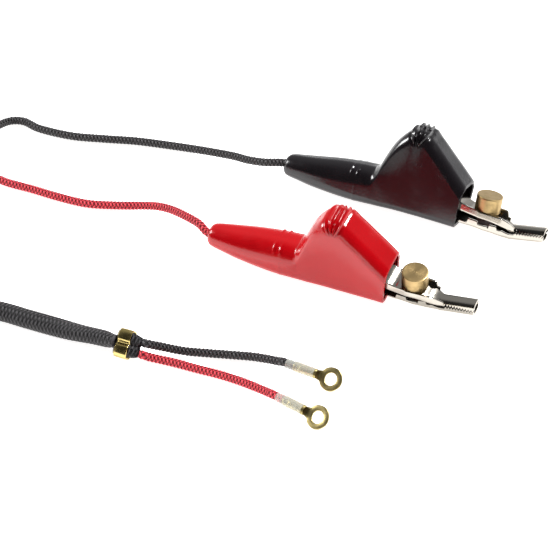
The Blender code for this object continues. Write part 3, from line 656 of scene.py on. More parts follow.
@dataclass(frozen=True)
class Finishes:
    """Every finish on the cord, made once."""

    vinyl: dict[Lead, bpy.types.Material]
    braid: dict[Lead, bpy.types.Material]
    sleeve: bpy.types.Material
    nickel: bpy.types.Material
    # The inner faces of the jaw stampings get a near-black plate: painted shade inside them.
    inside: bpy.types.Material
    post: bpy.types.Material
    lug: bpy.types.Material
    band: bpy.types.Material
    steel: bpy.types.Material
    copper: bpy.types.Material
    clear: bpy.types.Material
    fibre: bpy.types.Material
    tie: bpy.types.Material

    @classmethod
    def make(cls) -> "Finishes":
        """Build every material."""
        # Each braid's colours are its thread, a darker copy for the painted shade in the gaps, and a lighter
        # one for the painted highlight on the crests.
        red_thread = Braid((0.78, 0.016, 0.035), (0.12, 0.003, 0.007), (0.95, 0.11, 0.14), LEAD_WEAVE)
        black_colours = ((0.022, 0.020, 0.022), (0.003, 0.003, 0.003), (0.10, 0.095, 0.10))
        black_thread = Braid(*black_colours, LEAD_WEAVE, 0.42)
        sleeve_colours = ((0.013, 0.011, 0.013), (0.0025, 0.002, 0.0025), (0.075, 0.07, 0.075))
        sleeve = Braid(*sleeve_colours, SLEEVE_WEAVE, 0.45)
        red_vinyl = Vinyl((0.53, 0.0012, 0.005), (0.47, 0.001, 0.004), 0.18)
        black_vinyl = Vinyl((0.010, 0.008, 0.010), (0.006, 0.005, 0.006), 0.2)
        post = Brass(BrassCut.TURNED, (0.52, 0.37, 0.17), (0.36, 0.26, 0.12), 0.34)
        lug = Brass(BrassCut.STAMPED, (0.50, 0.41, 0.18), (0.36, 0.29, 0.12), 0.36)
        band = Brass(BrassCut.STAMPED, (0.66, 0.52, 0.20), (0.45, 0.34, 0.12), 0.2)
        return cls(
            vinyl={
                Lead.RED: red_vinyl.material("red_vinyl_looks"),
                Lead.BLACK: black_vinyl.material("black_vinyl_looks"),
            },
            braid={
                Lead.RED: red_thread.material("red_braid_looks"),
                Lead.BLACK: black_thread.material("black_braid_looks"),
            },
            sleeve=sleeve.material("sleeve_braid_looks"),
            nickel=Plate().material("nickel_looks"),
            # A near-black plate for the stampings' inner faces, which paints the shade inside them.
            inside=Plate((0.06, 0.05, 0.04), (0.03, 0.025, 0.02), 0.5).material("painted_shade_inside_looks"),
            post=post.material("post_brass_looks"),
            lug=lug.material("lug_brass_looks"),
            band=band.material("band_brass_looks"),
            steel=PlainMetal((0.50, 0.50, 0.51), 0.22).material("steel_looks"),
            copper=PlainMetal((0.78, 0.40, 0.25), 0.3).material("copper_looks"),
            clear=ClearTube().material("clear_tube_looks"),
            fibre=Matte((0.10, 0.035, 0.02), (0.20, 0.08, 0.05), 1600.0).material("fibre_looks"),
            tie=Matte((0.012, 0.012, 0.013), (0.05, 0.05, 0.052), 2600.0).material("tie_looks"),
        )


CLIP_STANCES = {
    Lead.RED: Stance((-57.1, -2.5, 5.24), -23.4, 3.0, 10.0),
    Lead.BLACK: Stance((-31.1, 38.6, 5.34), -24.8, 3.0, -14.0),
}
LUG_STANCES = {
    Lead.RED: Stance((-21.3, -97.9, 3.25), -38.9, 0.0, 45.0),
    Lead.BLACK: Stance((-16.9, -78.6, 3.25), -30.3, 0.0, 45.0),
}
LUG_FERRULE_STANCE = Stance((-84.1, -61.5, 4.4), -23.8, 0.0, 45.0)
CLIP_FERRULE_STANCE = Stance((-155.5, 52.0, 4.4), 12.0, 0.0, 45.0)
FERRULE_HALF = 2.3
SLEEVE_END = 3.2
LEAD_SPACING = 3.9
LEAD_D = 2.9
GAP = 0.3
CORD_SIDES = 48
WEAVE_MIDDLE = 0.78
SEEN_SLEEVE = 95.0
SLEEVE_R = 3.28
FLOOR_Z = -0.0002
ALL_SMOOTH = 180.0
BODY = "lead"
# How deep each boot's folds are, and how far their fan turns from side to side.
BOOT_FOLDS = {Lead.RED: (0.75, 0.0), Lead.BLACK: (0.9, 4.0)}


# ---------------------------------------------------------------- cords


@dataclass
class BraidedLead:
    """A round braided lead along a route, with its strands standing proud of it."""

    name: str
    lead: Lead
    start: Array
    floor: Sequence[Point]
    end: Array
    finishes: Finishes
    proud: float = 0.28

    def route(self, spacing: float) -> Array:
        """The centreline in metres, at even steps of a spacing in millimetres."""
        floor = (np.array(self.floor) + CENTRE) * MM
        return smooth_route(np.concatenate([self.start, floor, self.end]), spacing * MM)

    def build(self) -> bpy.types.Object:
        """Make the lead.

        Each row is a circle across the route, whose radius is the lead's and rises and falls with the weave.
        """
        route = self.route(0.19)
        side, up = across(route)
        angles = np.linspace(0.0, 2 * np.pi, CORD_SIDES, endpoint=False)
        along = lengths_along(route) / MM
        weave = LEAD_WEAVE.height(along[:, None], angles) - WEAVE_MIDDLE
        radius = (LEAD_D / 2 + self.proud * weave) * MM
        ring = np.cos(angles)[None, :, None] * side[:, None] + np.sin(angles)[None, :, None] * up[:, None]
        points = route[:, None] + radius[:, :, None] * ring
        skin = Skin(points, capped=True, along=along)
        return build_piece(self.name, [skin], self.finishes.braid[self.lead], ALL_SMOOTH)


# Free stretches of the leads over the floor, in the order from the clip or from the ferrule.
CLIP_LEAD_FLOOR: dict[Lead, Sequence[Point]] = {
    Lead.RED: (
        (-61.1, 0.9, 7.7),
        (-66.1, 6.6, 7.0),
        (-71.1, 12.7, 5.2),
        (-76.0, 16.8, 3.6),
        (-81.0, 18.8, 2.4),
        (-90.8, 20.1, 1.6),
        (-100.6, 21.3, 1.5),
        (-110.6, 25.2, 1.5),
        (-120.7, 30.2, 1.5),
        (-130.8, 35.0, 1.5),
        (-138.5, 42.0, 1.8),
    ),
    Lead.BLACK: (
        (-38.9, 40.0, 6.0),
        (-44.6, 43.2, 4.8),
        (-50.3, 47.5, 3.6),
        (-61.8, 53.1, 2.2),
        (-73.3, 57.1, 1.5),
        (-84.9, 59.7, 1.5),
        (-96.4, 61.1, 1.5),
        (-108.0, 62.9, 1.5),
        (-119.7, 67.5, 1.5),
        (-125.8, 72.2, 1.5),
        (-131.5, 72.0, 1.6),
        (-138.0, 64.5, 3.0),
    ),
}
LUG_LEAD_FLOOR: dict[Lead, Sequence[Point]] = {
    Lead.RED: (
        (-75.9, -65.9, 2.3),
        (-68.0, -67.9, 1.6),
        (-60.1, -71.1, 1.5),
        (-52.2, -74.3, 1.5),
        (-44.4, -78.9, 1.9),
        (-37.6, -84.6, 2.9),
    ),
    Lead.BLACK: (
        (-72.7, -62.8, 4.4),
        (-64.8, -62.9, 2.5),
        (-57.0, -62.8, 1.55),
        (-49.1, -63.7, 1.5),
        (-41.2, -65.2, 1.8),
        (-33.4, -69.0, 3.0),
    ),
}


def lead_side(lead: Lead) -> float:
    """Which lobe of a ferrule a lead leaves by, as a distance from its middle."""
    return LEAD_SPACING / 2 * (1.0 if lead is Lead.BLACK else -1.0)


@dataclass
class Sleeve:
    """The braided sleeve that holds both leads: two stretches and a tied coil of three and a half turns."""

    finishes: Finishes
    centre: tuple[float, float] = (-186.5, 1.0)
    inner_track: float = 30.7
    outer_track: float = 37.4
    floor_z: float = 3.33
    layer: float = 6.6
    tie_lift: float = 1.0

    def coil(self) -> Array:
        """The coil's centreline, from its far side to its near side, in the cords' millimetres.

        The angle grows evenly. The radius steps from the outer track to the inner one near the end of the
        first turn and back near the end of the third. The height steps up one layer near the end of the
        second turn, and bulges a little over the tie.
        """
        degrees = np.linspace(112.0, 1350.0, 420)
        inward = step_between(420.0, 468.0, degrees) - step_between(1146.0, 1200.0, degrees)
        radius = self.outer_track + (self.inner_track - self.outer_track) * inward
        radius += 2.2 * (1 - step_between(112.0, 150.0, degrees))
        raised = self.layer * step_between(762.0, 822.0, degrees)
        lift = self.tie_lift * sum(hump(degrees, 180.0 + 360.0 * turn, 26.0) for turn in range(4))
        angle = np.radians(degrees)
        x, y = self.centre[0] + radius * np.cos(angle), self.centre[1] + radius * np.sin(angle)
        return np.stack([x, y, self.floor_z + raised + lift], axis=1)

    def route(self) -> Array:
        """The whole centreline in metres, from the clips' ferrule to the lugs'."""
        back = np.array([[-FERRULE_HALF - 0.8, 0.0, 0.0]])
        start = CLIP_FERRULE_STANCE.place(back)
        out = ((-165.0, 49.6, 4.0), (-172.0, 47.5, 4.0), (-180.0, 45.6, 3.9), (-190.5, 42.8, 3.5))
        home = (
            (-172.0, -37.2, 9.2),
            (-158.0, -35.5, 6.0),
            (-141.0, -38.0, 3.6),
            (-125.8, -42.8, 3.33),
            (-117.5, -46.6, 3.33),
            (-109.4, -50.2, 3.33),
            (-101.3, -53.9, 3.5),
            (-93.2, -57.2, 3.9),
        )
        middle = np.concatenate([np.array(out), self.coil()[6:-4:6], np.array(home)])
        return np.concatenate([start, (middle + CENTRE) * MM, LUG_FERRULE_STANCE.place(back)])

    def build(self) -> bpy.types.Object:
        """Make the sleeve.

        Each row is a flattened ring across the route. It is round along most of the sleeve and widens near
        each ferrule, where the leads lie side by side. Rows are close where the weave is seen from near by.
        """
        route = smooth_route(self.route(), 0.5 * MM)
        whole = lengths_along(route)[-1] / MM
        fine = 0.28
        coarse = 0.85
        seen = whole - SEEN_SLEEVE
        distances = np.concatenate([np.arange(0.0, seen, coarse), np.arange(seen, whole, fine), [whole]])
        route = read_at(route, distances * MM)
        side, up = across(route)
        to_end = np.minimum(distances, whole - distances)
        lobes = (1 - step_between(2.0, 34.0, to_end))[:, None]
        angles = np.linspace(0.0, 2 * np.pi, CORD_SIDES, endpoint=False)
        wide = SLEEVE_R + 1.05 * lobes
        pinch = 0.2 * lobes + 0.6 * (1 - step_between(0.5, 4.5, to_end))[:, None]
        deep = SLEEVE_R - pinch - 0.35 * lobes * np.abs(np.sin(angles)) ** 6
        roll = math.radians(45.0) * lobes
        u, v = wide * np.cos(angles), deep * np.sin(angles)
        sideways = u * np.cos(roll) - v * np.sin(roll)
        upwards = u * np.sin(roll) + v * np.cos(roll)
        weave = SLEEVE_WEAVE.height(distances[:, None], angles) - WEAVE_MIDDLE
        proud = 1 + 0.09 * weave * step_between(seen, seen + 7.0, distances)[:, None]
        points = route[:, None] - (sideways * proud * MM)[:, :, None] * side[:, None]
        points = points + (upwards * proud * MM)[:, :, None] * up[:, None]
        skin = Skin(points, capped=True, along=distances)
        return build_piece("sleeve", [skin], self.finishes.sleeve, ALL_SMOOTH)

    def build_tie(self) -> bpy.types.Object:
        """Make the tie: a strap's cross-section carried round the bundle of turns as a rounded box."""
        angles = np.linspace(0.0, 2 * np.pi, 96, endpoint=False)
        size = (np.abs(np.cos(angles)) ** 5 + np.abs(np.sin(angles)) ** 5) ** -0.2
        middle_r, middle_z = (self.inner_track + self.outer_track) / 2, 7.9
        edge = np.array([(-4.5, 0.05), (-4.2, 0.0), (4.2, 0.0), (4.5, 0.05)])
        section = np.concatenate([edge, [(4.5, 0.7), (4.2, 0.78), (-4.2, 0.78), (-4.5, 0.7)]])
        half_r, half_z = 7.0 + section[:, 1], 6.8 + section[:, 1]
        out = -(middle_r + size[:, None] * np.cos(angles)[:, None] * half_r)
        high = middle_z + size[:, None] * np.sin(angles)[:, None] * half_z
        points = np.stack([self.centre[0] + out, self.centre[1] + section[:, 0] + 0 * out, high], axis=2)
        return build_piece("coil_strap", [Skin((points + CENTRE) * MM, round_rows=True)], self.finishes.tie)


# ---------------------------------------------------------------- boot


@dataclass
class Boot:
    """A dipped vinyl boot: a tapering tail, a hump with gathered folds at its top, and an open mouth."""

    lead: Lead
    stance: Stance
    finishes: Finishes
    fold_depth: float = 0.75
    fold_turn: float = 0.0
    wall: float = 1.2
    mouth_x: float = 66.2
    gather: tuple[float, float] = (47.9, 23.8)
    folds: tuple[float, ...] = (-36.0, -12.0, 5.0, 24.0)

    # x, bottom z, top z, half width low down and at the top, radius of the low and of the top corners.
    STATIONS: ClassVar[Array] = np.array(
        (
            (0.3, -2.1, 4.1, 3.2, 3.2, 3.0, 3.0),
            (1.3, -2.8, 4.9, 3.9, 3.9, 3.7, 3.7),
            (6.0, -3.1, 6.0, 5.0, 4.9, 4.2, 4.5),
            (12.0, -3.4, 7.2, 6.0, 5.8, 4.4, 5.2),
            (20.0, -3.3, 8.8, 6.8, 6.4, 4.2, 5.9),
            (28.0, -2.9, 10.1, 7.3, 6.8, 3.6, 6.2),
            (33.5, -2.4, 10.9, 7.4, 6.8, 3.2, 6.2),
            (35.0, -2.2, 12.8, 7.4, 6.5, 3.0, 6.0),
            (37.0, -2.0, 17.8, 7.4, 6.4, 2.8, 5.8),
            (39.5, -1.7, 22.8, 7.4, 6.4, 2.6, 5.6),
            (43.0, -1.4, 27.2, 7.4, 6.4, 2.6, 5.3),
            (46.5, -1.2, 29.6, 7.4, 6.4, 2.6, 5.0),
            (49.8, -1.1, 29.5, 7.4, 6.6, 2.6, 4.6),
            (53.5, -1.0, 26.4, 7.4, 6.8, 2.6, 4.4),
            (59.0, -1.0, 21.0, 7.3, 7.0, 2.6, 4.3),
            (66.2, -1.0, 14.2, 7.2, 7.0, 2.6, 4.2),
        )
    )

    @staticmethod
    def box(half_width: Array, half_height: Array, low_radius: Array, top_radius: Array) -> Array:
        """Boxes with rounded corners: a quarter circle at each corner and even points on each side.

        Args:
            half_width: one value a box, as a column. The others are alike.
            half_height: half the height.
            low_radius: the two lower corners' radius.
            top_radius: the two upper corners' radius.

        Returns:
            Rows of (sideways, upwards) pairs, from the right side's top round over the top.
        """
        arcs = []
        for k, (sideways, upwards, radius) in enumerate(
            ((1, 1, top_radius), (-1, 1, top_radius), (-1, -1, low_radius), (1, -1, low_radius))
        ):
            radius = np.minimum(radius, 0.98 * np.minimum(half_width, half_height))
            turn = (np.linspace(0.0, 0.5, 14) + 0.5 * k) * np.pi
            across_it = sideways * (half_width - radius) + radius * np.cos(turn)
            up_it = upwards * (half_height - radius) + radius * np.sin(turn)
            arcs.append(np.stack([across_it, up_it], axis=2))
        rows = []
        for arc, following, count in zip(arcs, arcs[1:] + arcs[:1], (12, 44, 10, 44), strict=True):
            share = np.linspace(0.0, 1.0, count + 1)[None, 1:-1, None]
            rows += [arc, arc[:, -1:] * (1 - share) + following[:, :1] * share]
        return np.concatenate(rows, axis=1)

    def rings(self, share: Array, inset: float) -> Array:
        """Rings across the boot at shares of the way from its tail to its mouth.

        A ring is a rounded box, whose width runs from low down to the top. Near the mouth it leans forward
        with height.

        Args:
            share: where each ring stands, from 0 to 1.
            inset: how far inside the outer face it is, in millimetres.

        Returns:
            Rows by columns of points in the clip's frame.
        """
        table = self.STATIONS
        chord = np.concatenate([[0.0], np.cumsum(np.hypot(np.diff(table[:, 0]), np.diff(table[:, 2])))])
        rows = monotone(chord, table, share * chord[-1]).T[:, :, None]
        x, low, high, low_width, top_width, low_radius, top_radius = rows
        half = (high - low) / 2 - inset
        section = self.box(low_width - inset, half, low_radius - inset, top_radius - inset)
        z = (low + high) / 2 + section[:, :, 1]
        taper = 1 + (top_width / low_width - 1) * np.clip((z - low) / (high - low), 0.0, 1.0)
        slant = 0.07 * z * np.maximum(0.0, (x - 50.0) / (self.mouth_x - 50.0))
        return np.stack([x + slant, section[:, :, 0] * taper, z], axis=2)

    def relief(self, points: Array) -> Array:
        """How far each point stands out of the plain boot, in millimetres.

        Sharp folds fan out from a gather high on each side of the hump and cross its top: each is a tent
        over the angle about the gather, and the ground between them is sunk. Two short ridges and a faint
        seam cross each side of the tail. Slow waves over the whole boot keep its faces from being true.
        """
        x, y, z = np.moveaxis(points, 2, 0)
        forward, upward = x - self.gather[0], z - self.gather[1]
        fan = np.degrees(np.arctan2(forward, np.maximum(upward, 0.01))) + self.fold_turn * np.sign(y)
        reach = np.hypot(forward, upward)
        tents = sum(np.clip(1 - np.abs(fan - angle) / 8.0, 0.0, 1.0) ** 1.3 for angle in self.folds)
        window = step_between(-58.0, -42.0, fan) * (1 - step_between(30.0, 44.0, fan)) * (upward > 0)
        folds = (tents - 0.45) * window * step_between(0.3, 2.8, reach)
        ridges = (hump(x, 26.0, 0.3) + hump(x, 28.4, 0.3)) * hump(z, 8.6, 0.9) * (np.abs(y) > 2.0)
        seam = hump(x, 28.5, 0.35) * (1 - step_between(4.0, 6.5, z))
        slow = np.sin(x * 0.21 + 0.6) * np.cos(z * 0.27 + 0.3 * y) * 0.10
        return self.fold_depth * folds + 0.5 * ridges + 0.1 * seam + slow * step_between(2.0, 10.0, x)

    def build(self) -> bpy.types.Object:
        """Make the boot as one shell.

        It runs out over the tail, hump and lip, and back along the inside to the tail's hole. Rings are
        closest over the folds.
        """
        share = np.interp(np.linspace(0.0, 1.0, 300), (0.0, 0.47, 0.8, 1.0), (0.0, 0.58, 0.78, 1.0))
        outer = self.rings(share, 0.0)
        along, round_it = np.gradient(outer, axis=0), np.gradient(outer, axis=1)
        outwards = unit(np.cross(round_it, along))
        from_middle = outer - outer.mean(axis=1, keepdims=True)
        outward_sums = (outwards * from_middle).sum(axis=(1, 2), keepdims=True)
        outer = outer + outwards * np.sign(outward_sums) * self.relief(outer)[:, :, None]
        inner = self.rings(share[::-4], self.wall)
        inner = inner[inner[:, :, 0].mean(axis=1) > 2.4]
        lip = (outer[-1:] + inner[:1]) / 2 + np.array((0.32, 0.0, 0.0))
        hole_r = np.full((1, 1), 1.8)
        hole = self.box(hole_r, hole_r, hole_r, hole_r)
        hole = np.concatenate([0 * hole[:, :, :1], hole + np.array((0.0, 1.0))], axis=2)
        rows = [hole, outer[:1] * 0.35 + hole * 0.65, outer, lip, inner, hole + np.array((1.5, 0.0, 0.0))]
        skin = Skin(self.stance.place(np.concatenate(rows)), round_rows=True)
        return build_piece(f"{self.lead.value}_boot_shell", [skin], self.finishes.vinyl[self.lead], 55.0)


# ---------------------------------------------------------------- jaws


@dataclass(frozen=True)
class Nose:
    """The toothed nose that both jaws share, in two halves of a squarish tube."""

    start_x: float = 85.0
    tip_x: float = 97.4
    radius: float = 2.25
    start_z: float = 1.8
    tip_z: float = 4.4
    teeth_x: float = 86.8
    pitch: float = 1.0
    depth: float = 0.95
    gap: tuple[float, float] = (1.1, 0.45)
    parting: tuple[float, float] = (0.7, 0.1)

    def axis(self, x: Array) -> Array:
        """The height of the nose's axis, straight from its start to its tip."""
        return np.interp(x, (self.start_x, self.tip_x), (self.start_z, self.tip_z))

    def edge(self, x: Array) -> Array:
        """The toothed edge's height over the axis: a zigzag of one period a tooth, flat behind the teeth."""
        phase = np.mod((x - self.teeth_x) / self.pitch, 1.0)
        wave = np.where(phase < 0.62, phase / 0.62, (1 - phase) / 0.38) * 2 - 1
        return np.where(x < self.teeth_x, -1.0, wave) * self.depth / 2

    def section(self, x: Array, upper: bool, columns: int) -> Array:
        """The nose's upper or lower half at each x, from one toothed edge to the other.

        Its radius at an angle is that of a superellipse of power three. The gap between the halves narrows
        towards the tip, and the line on which they part comes down to the axis.
        """
        sign = 1.0 if upper else -1.0
        span = (self.teeth_x, self.tip_x)
        rise = np.interp(x, span, self.gap) / 2 + sign * (self.edge(x) + np.interp(x, span, self.parting))
        first = np.arcsin(np.clip(rise / self.radius, -0.9, 0.9))[:, None]
        angles = first + (np.pi - 2 * first) * np.linspace(0.0, 1.0, columns)
        square = (np.abs(np.cos(angles)) ** 3 + np.abs(np.sin(angles)) ** 3) ** (-1 / 3)
        y = -self.radius * square * np.cos(angles)
        z = self.axis(x)[:, None] + sign * self.radius * square * np.sin(angles)
        return np.stack([x[:, None] + 0 * y, y, z], axis=2)


def folded_section(
    x: Array, widths: tuple[Array, Array], base: Array, folds: tuple[Array, Array], bend: float
) -> Array:
    """A flat strip across x with both of its edges folded up or down.

    Each side has its wall, a quarter-round bend of at most the given radius, and half of the flat.

    Args:
        x: where the sections stand.
        widths: the strip's reach to the near and the far side at each.
        base: the flat's height at each.
        folds: how far the near and the far edge are folded, up or down.
        bend: the bend's radius.

    Returns:
        Rows by columns of points.
    """
    sides = []
    for sign, width, fold in zip((-1.0, 1.0), widths, folds, strict=True):
        radius = np.minimum(bend, np.abs(fold) * 0.8)[:, None]
        direction = np.sign(fold + 1e-9)[:, None]
        wall = np.linspace(1.0, 0.0, 6)[None]
        wall_z = radius + (np.abs(fold)[:, None] - radius) * wall
        turn = np.linspace(0.0, np.pi / 2, 7)[None, 1:]
        arc_y, arc_z = -radius * (1 - np.cos(turn)), radius * (1 - np.sin(turn))
        flat = np.linspace(1.0, 0.0, 9)[None, 1:]
        edge = width[:, None]
        y = np.concatenate([edge + 0 * wall_z, edge + arc_y, (edge - radius) * flat], axis=1)
        z = np.concatenate([wall_z, arc_z, 0 * radius * flat], axis=1) * direction + base[:, None]
        sides.append(np.stack([x[:, None] + 0 * y, sign * y, z], axis=2))
    return np.concatenate([sides[0], sides[1][:, -2::-1]], axis=1)


@dataclass
class Jaws:
    """A clip's two stamped jaws."""

    lead: Lead
    stance: Stance
    finishes: Finishes
    nose: Nose = field(default_factory=Nose)
    sheet: float = 0.7
    pivot: tuple[float, float] = (60.5, 5.8)
    row_step: float = 0.16

    # x, plate z, near half width, far half width, edges' fold.
    UPPER: ClassVar[Array] = np.array(
        (
            (47.6, 22.6, 2.6, 2.6, -0.3),
            (48.6, 21.8, 3.6, 3.6, -0.9),
            (54.0, 17.0, 3.8, 3.8, -0.9),
            (58.0, 13.5, 4.0, 4.0, -0.2),
            (61.5, 10.6, 4.2, 4.2, 0.1),
            (64.5, 8.2, 4.5, 4.5, 0.2),
            (67.0, 6.7, 4.7, 4.7, 0.2),
            (69.5, 6.0, 4.7, 4.7, 0.2),
            (76.6, 6.0, 4.4, 4.2, 0.2),
            (78.0, 5.8, 4.2, 3.3, 0.2),
            (80.8, 5.0, 4.0, 3.3, 0.2),
            (82.0, 4.7, 3.8, 3.2, 0.2),
            (84.6, 4.2, 3.0, 3.0, 0.2),
        )
    )
    # x, y, bottom z, top z of the band that stands along the pan's near edge.
    BAND: ClassVar[Array] = np.array(
        (
            (64.2, -4.85, 7.3, 9.4),
            (66.4, -4.95, 6.3, 8.9),
            (70.0, -4.95, 5.9, 8.2),
            (73.4, -4.95, 5.5, 7.9),
            (73.8, -4.90, 5.4, 7.5),
            (77.5, -4.45, 5.1, 7.3),
            (81.5, -4.10, 4.5, 7.2),
            (84.0, -3.40, 3.8, 6.3),
            (86.5, -2.35, 3.2, 4.6),
        )
    )
    LOWER_FLOOR: ClassVar[Array] = np.array(
        ((23.0, 1.2), (34.0, 0.9), (58.0, 0.9), (72.0, 0.9), (79.0, 0.4), (85.0, -0.5), (97.4, -0.5))
    )
    LOWER_WIDTH: ClassVar[Array] = np.array(
        ((23.0, 2.9), (46.0, 3.2), (56.0, 4.1), (76.0, 4.1), (84.0, 2.7), (97.4, 2.6))
    )
    LOWER_WALL: ClassVar[Array] = np.array(
        (
            (23.0, 3.6),
            (46.0, 4.4),
            (64.5, 4.4),
            (65.3, 1.9),
            (69.9, 1.8),
            (70.3, 3.5),
            (73.5, 3.4),
            (73.9, 2.2),
            (77.2, 2.4),
            (77.35, 1.9),
            (77.75, 1.9),
            (77.9, 3.2),
            (80.3, 3.2),
            (80.6, 2.0),
            (81.6, 2.0),
            (82.2, 2.6),
            (85.0, 2.1),
        )
    )

    def band(self) -> Array:
        """The band along the pan's near edge: straight from its bottom to its top at each x."""
        x = np.arange(64.2, 86.5, self.row_step)
        y, low, high = (monotone(self.BAND[:, 0], self.BAND[:, k : k + 1], x) for k in (1, 2, 3))
        z = low + (high - low) * np.linspace(0.0, 1.0, 6)
        return np.stack([x[:, None] + 0 * z, y + 0 * z, z], axis=2)

    def guard(self) -> Array:
        """The guard tab on the pan's far edge, whose top falls away in a quarter circle at each end."""
        x = np.linspace(77.8, 83.4, 19)
        rear = 1 - np.sqrt(1 - np.clip(1 - (x - 77.8) / 1.0, 0.0, 1.0) ** 2)
        front = 1 - np.sqrt(1 - np.clip((x - 81.2) / 1.25, 0.0, 1.0) ** 2)
        foot = np.interp(x, (77.8, 83.4), (5.6, 4.2))[:, None]
        top = np.maximum(7.5 - rear - 2.2 * front, 5.3 - 0.5 * (x - 82.0))[:, None]
        z = foot + (top - foot) * np.linspace(0.0, 1.0, 4)
        y = np.interp(x, (77.8, 83.4), (3.4, 3.0))[:, None]
        return np.stack([x[:, None] + 0 * z, y + 0 * z, z], axis=2)

    def upper(self) -> bpy.types.Object:
        """Make the upper jaw's lever, pan and nose as one sheet."""
        nose = self.nose
        x = np.arange(47.6, nose.tip_x, self.row_step)
        z, near, far, fold = monotone(self.UPPER[:, 0], self.UPPER[:, 1:], np.minimum(x, 84.6)).T
        plate = folded_section(x, (near, far), z, (fold, fold), 0.9)
        tube = nose.section(x, True, plate.shape[1])
        share = step_between(80.8, 86.0, x)[:, None, None]
        skin = Skin(self.stance.place(plate * (1 - share) + tube * share), round_columns=False)
        piece = build_piece(f"{self.lead.value}_upper_stamping", [skin], self.finishes.nickel)
        # The inner face gets the near-black plate, painted shade inside the pan and nose.
        return solidify(piece, self.sheet, 0.06, self.finishes.inside)

    def tabs(self) -> bpy.types.Object:
        """Make what is bent out of the upper jaw's edges: its band, its guard tab and its two ears."""
        sheets = (self.band(), self.guard(), self.ear(-2.7), self.ear(2.7))
        skins = [Skin(self.stance.place(sheet), round_columns=False) for sheet in sheets]
        piece = build_piece(f"{self.lead.value}_upper_tabs", skins, self.finishes.nickel)
        return solidify(piece, self.sheet, 0.06, self.finishes.nickel)

    def ear(self, side: float) -> Array:
        """A leg of the upper jaw that ends in a half circle about the pivot."""
        pivot_x, pivot_z = self.pivot
        z = np.linspace(11.2, pivot_z - 2.28, 22)[:, None]
        half = np.where(z > pivot_z, 2.3, np.sqrt(np.maximum(2.3**2 - (z - pivot_z) ** 2, 0.01)))
        x = pivot_x - 0.4 * (z - pivot_z) / 5.4 + half * np.linspace(-1.0, 1.0, 9)
        return np.stack([x, side + 0 * x, z + 0 * x], axis=2)

    def lower(self) -> bpy.types.Object:
        """Make the lower jaw: a channel with notched walls and ears, turning into the nose."""
        nose = self.nose
        x = np.arange(23.0, nose.tip_x, self.row_step)
        base = np.interp(x, *self.LOWER_FLOOR.T)
        width = np.interp(x, *self.LOWER_WIDTH.T) - self.sheet / 2
        reach = np.clip(2.6**2 - (x - self.pivot[0]) ** 2, 0.0, None)
        top = np.where(reach > 0, self.pivot[1] + np.sqrt(reach), 0.0)
        wall = np.maximum(np.interp(x, *self.LOWER_WALL.T), top) - base
        channel = folded_section(x, (width, width), base, (wall, wall), 0.9)
        tube = nose.section(x, False, channel.shape[1])
        share = step_between(79.5, nose.start_x, x)[:, None, None]
        skin = Skin(self.stance.place(channel * (1 - share) + tube * share), round_columns=False)
        piece = build_piece(f"{self.lead.value}_lower_stamping", [skin], self.finishes.nickel)
        # The inner face gets the near-black plate, painted shade inside the channel and nose.
        return solidify(piece, self.sheet, 0.06, self.finishes.inside)

    def post(self) -> bpy.types.Object:
        """Make the brass post: a turned drum with a centre mark, fine steps on its face and broken edges."""
        top, base, radius = 12.6, 6.65, 4.55
        face = [(0.02, top - 0.10), (0.22, top - 0.09), (0.34, top)]
        face += [(r, top - 0.02 * (k % 2)) for k, r in enumerate(np.linspace(0.7, radius - 0.5, 16))]
        edge = [(radius - 0.24, top - 0.01), (radius - 0.08, top - 0.08), (radius, top - 0.26)]
        side = [(radius, z) for z in np.linspace(top - 0.6, base + 0.5, 6)]
        foot = [(radius - 0.05, base + 0.1), (radius - 0.3, base), (0.02, base)]
        turned = revolve(face + edge + side + foot, 96) + np.array((75.3, 0.0, 0.0))
        skin = Skin(self.stance.place(turned), capped=True)
        return build_piece(f"{self.lead.value}_post", [skin], self.finishes.post, 30.0)


# ---------------------------------------------------------------- lugs and ferrules


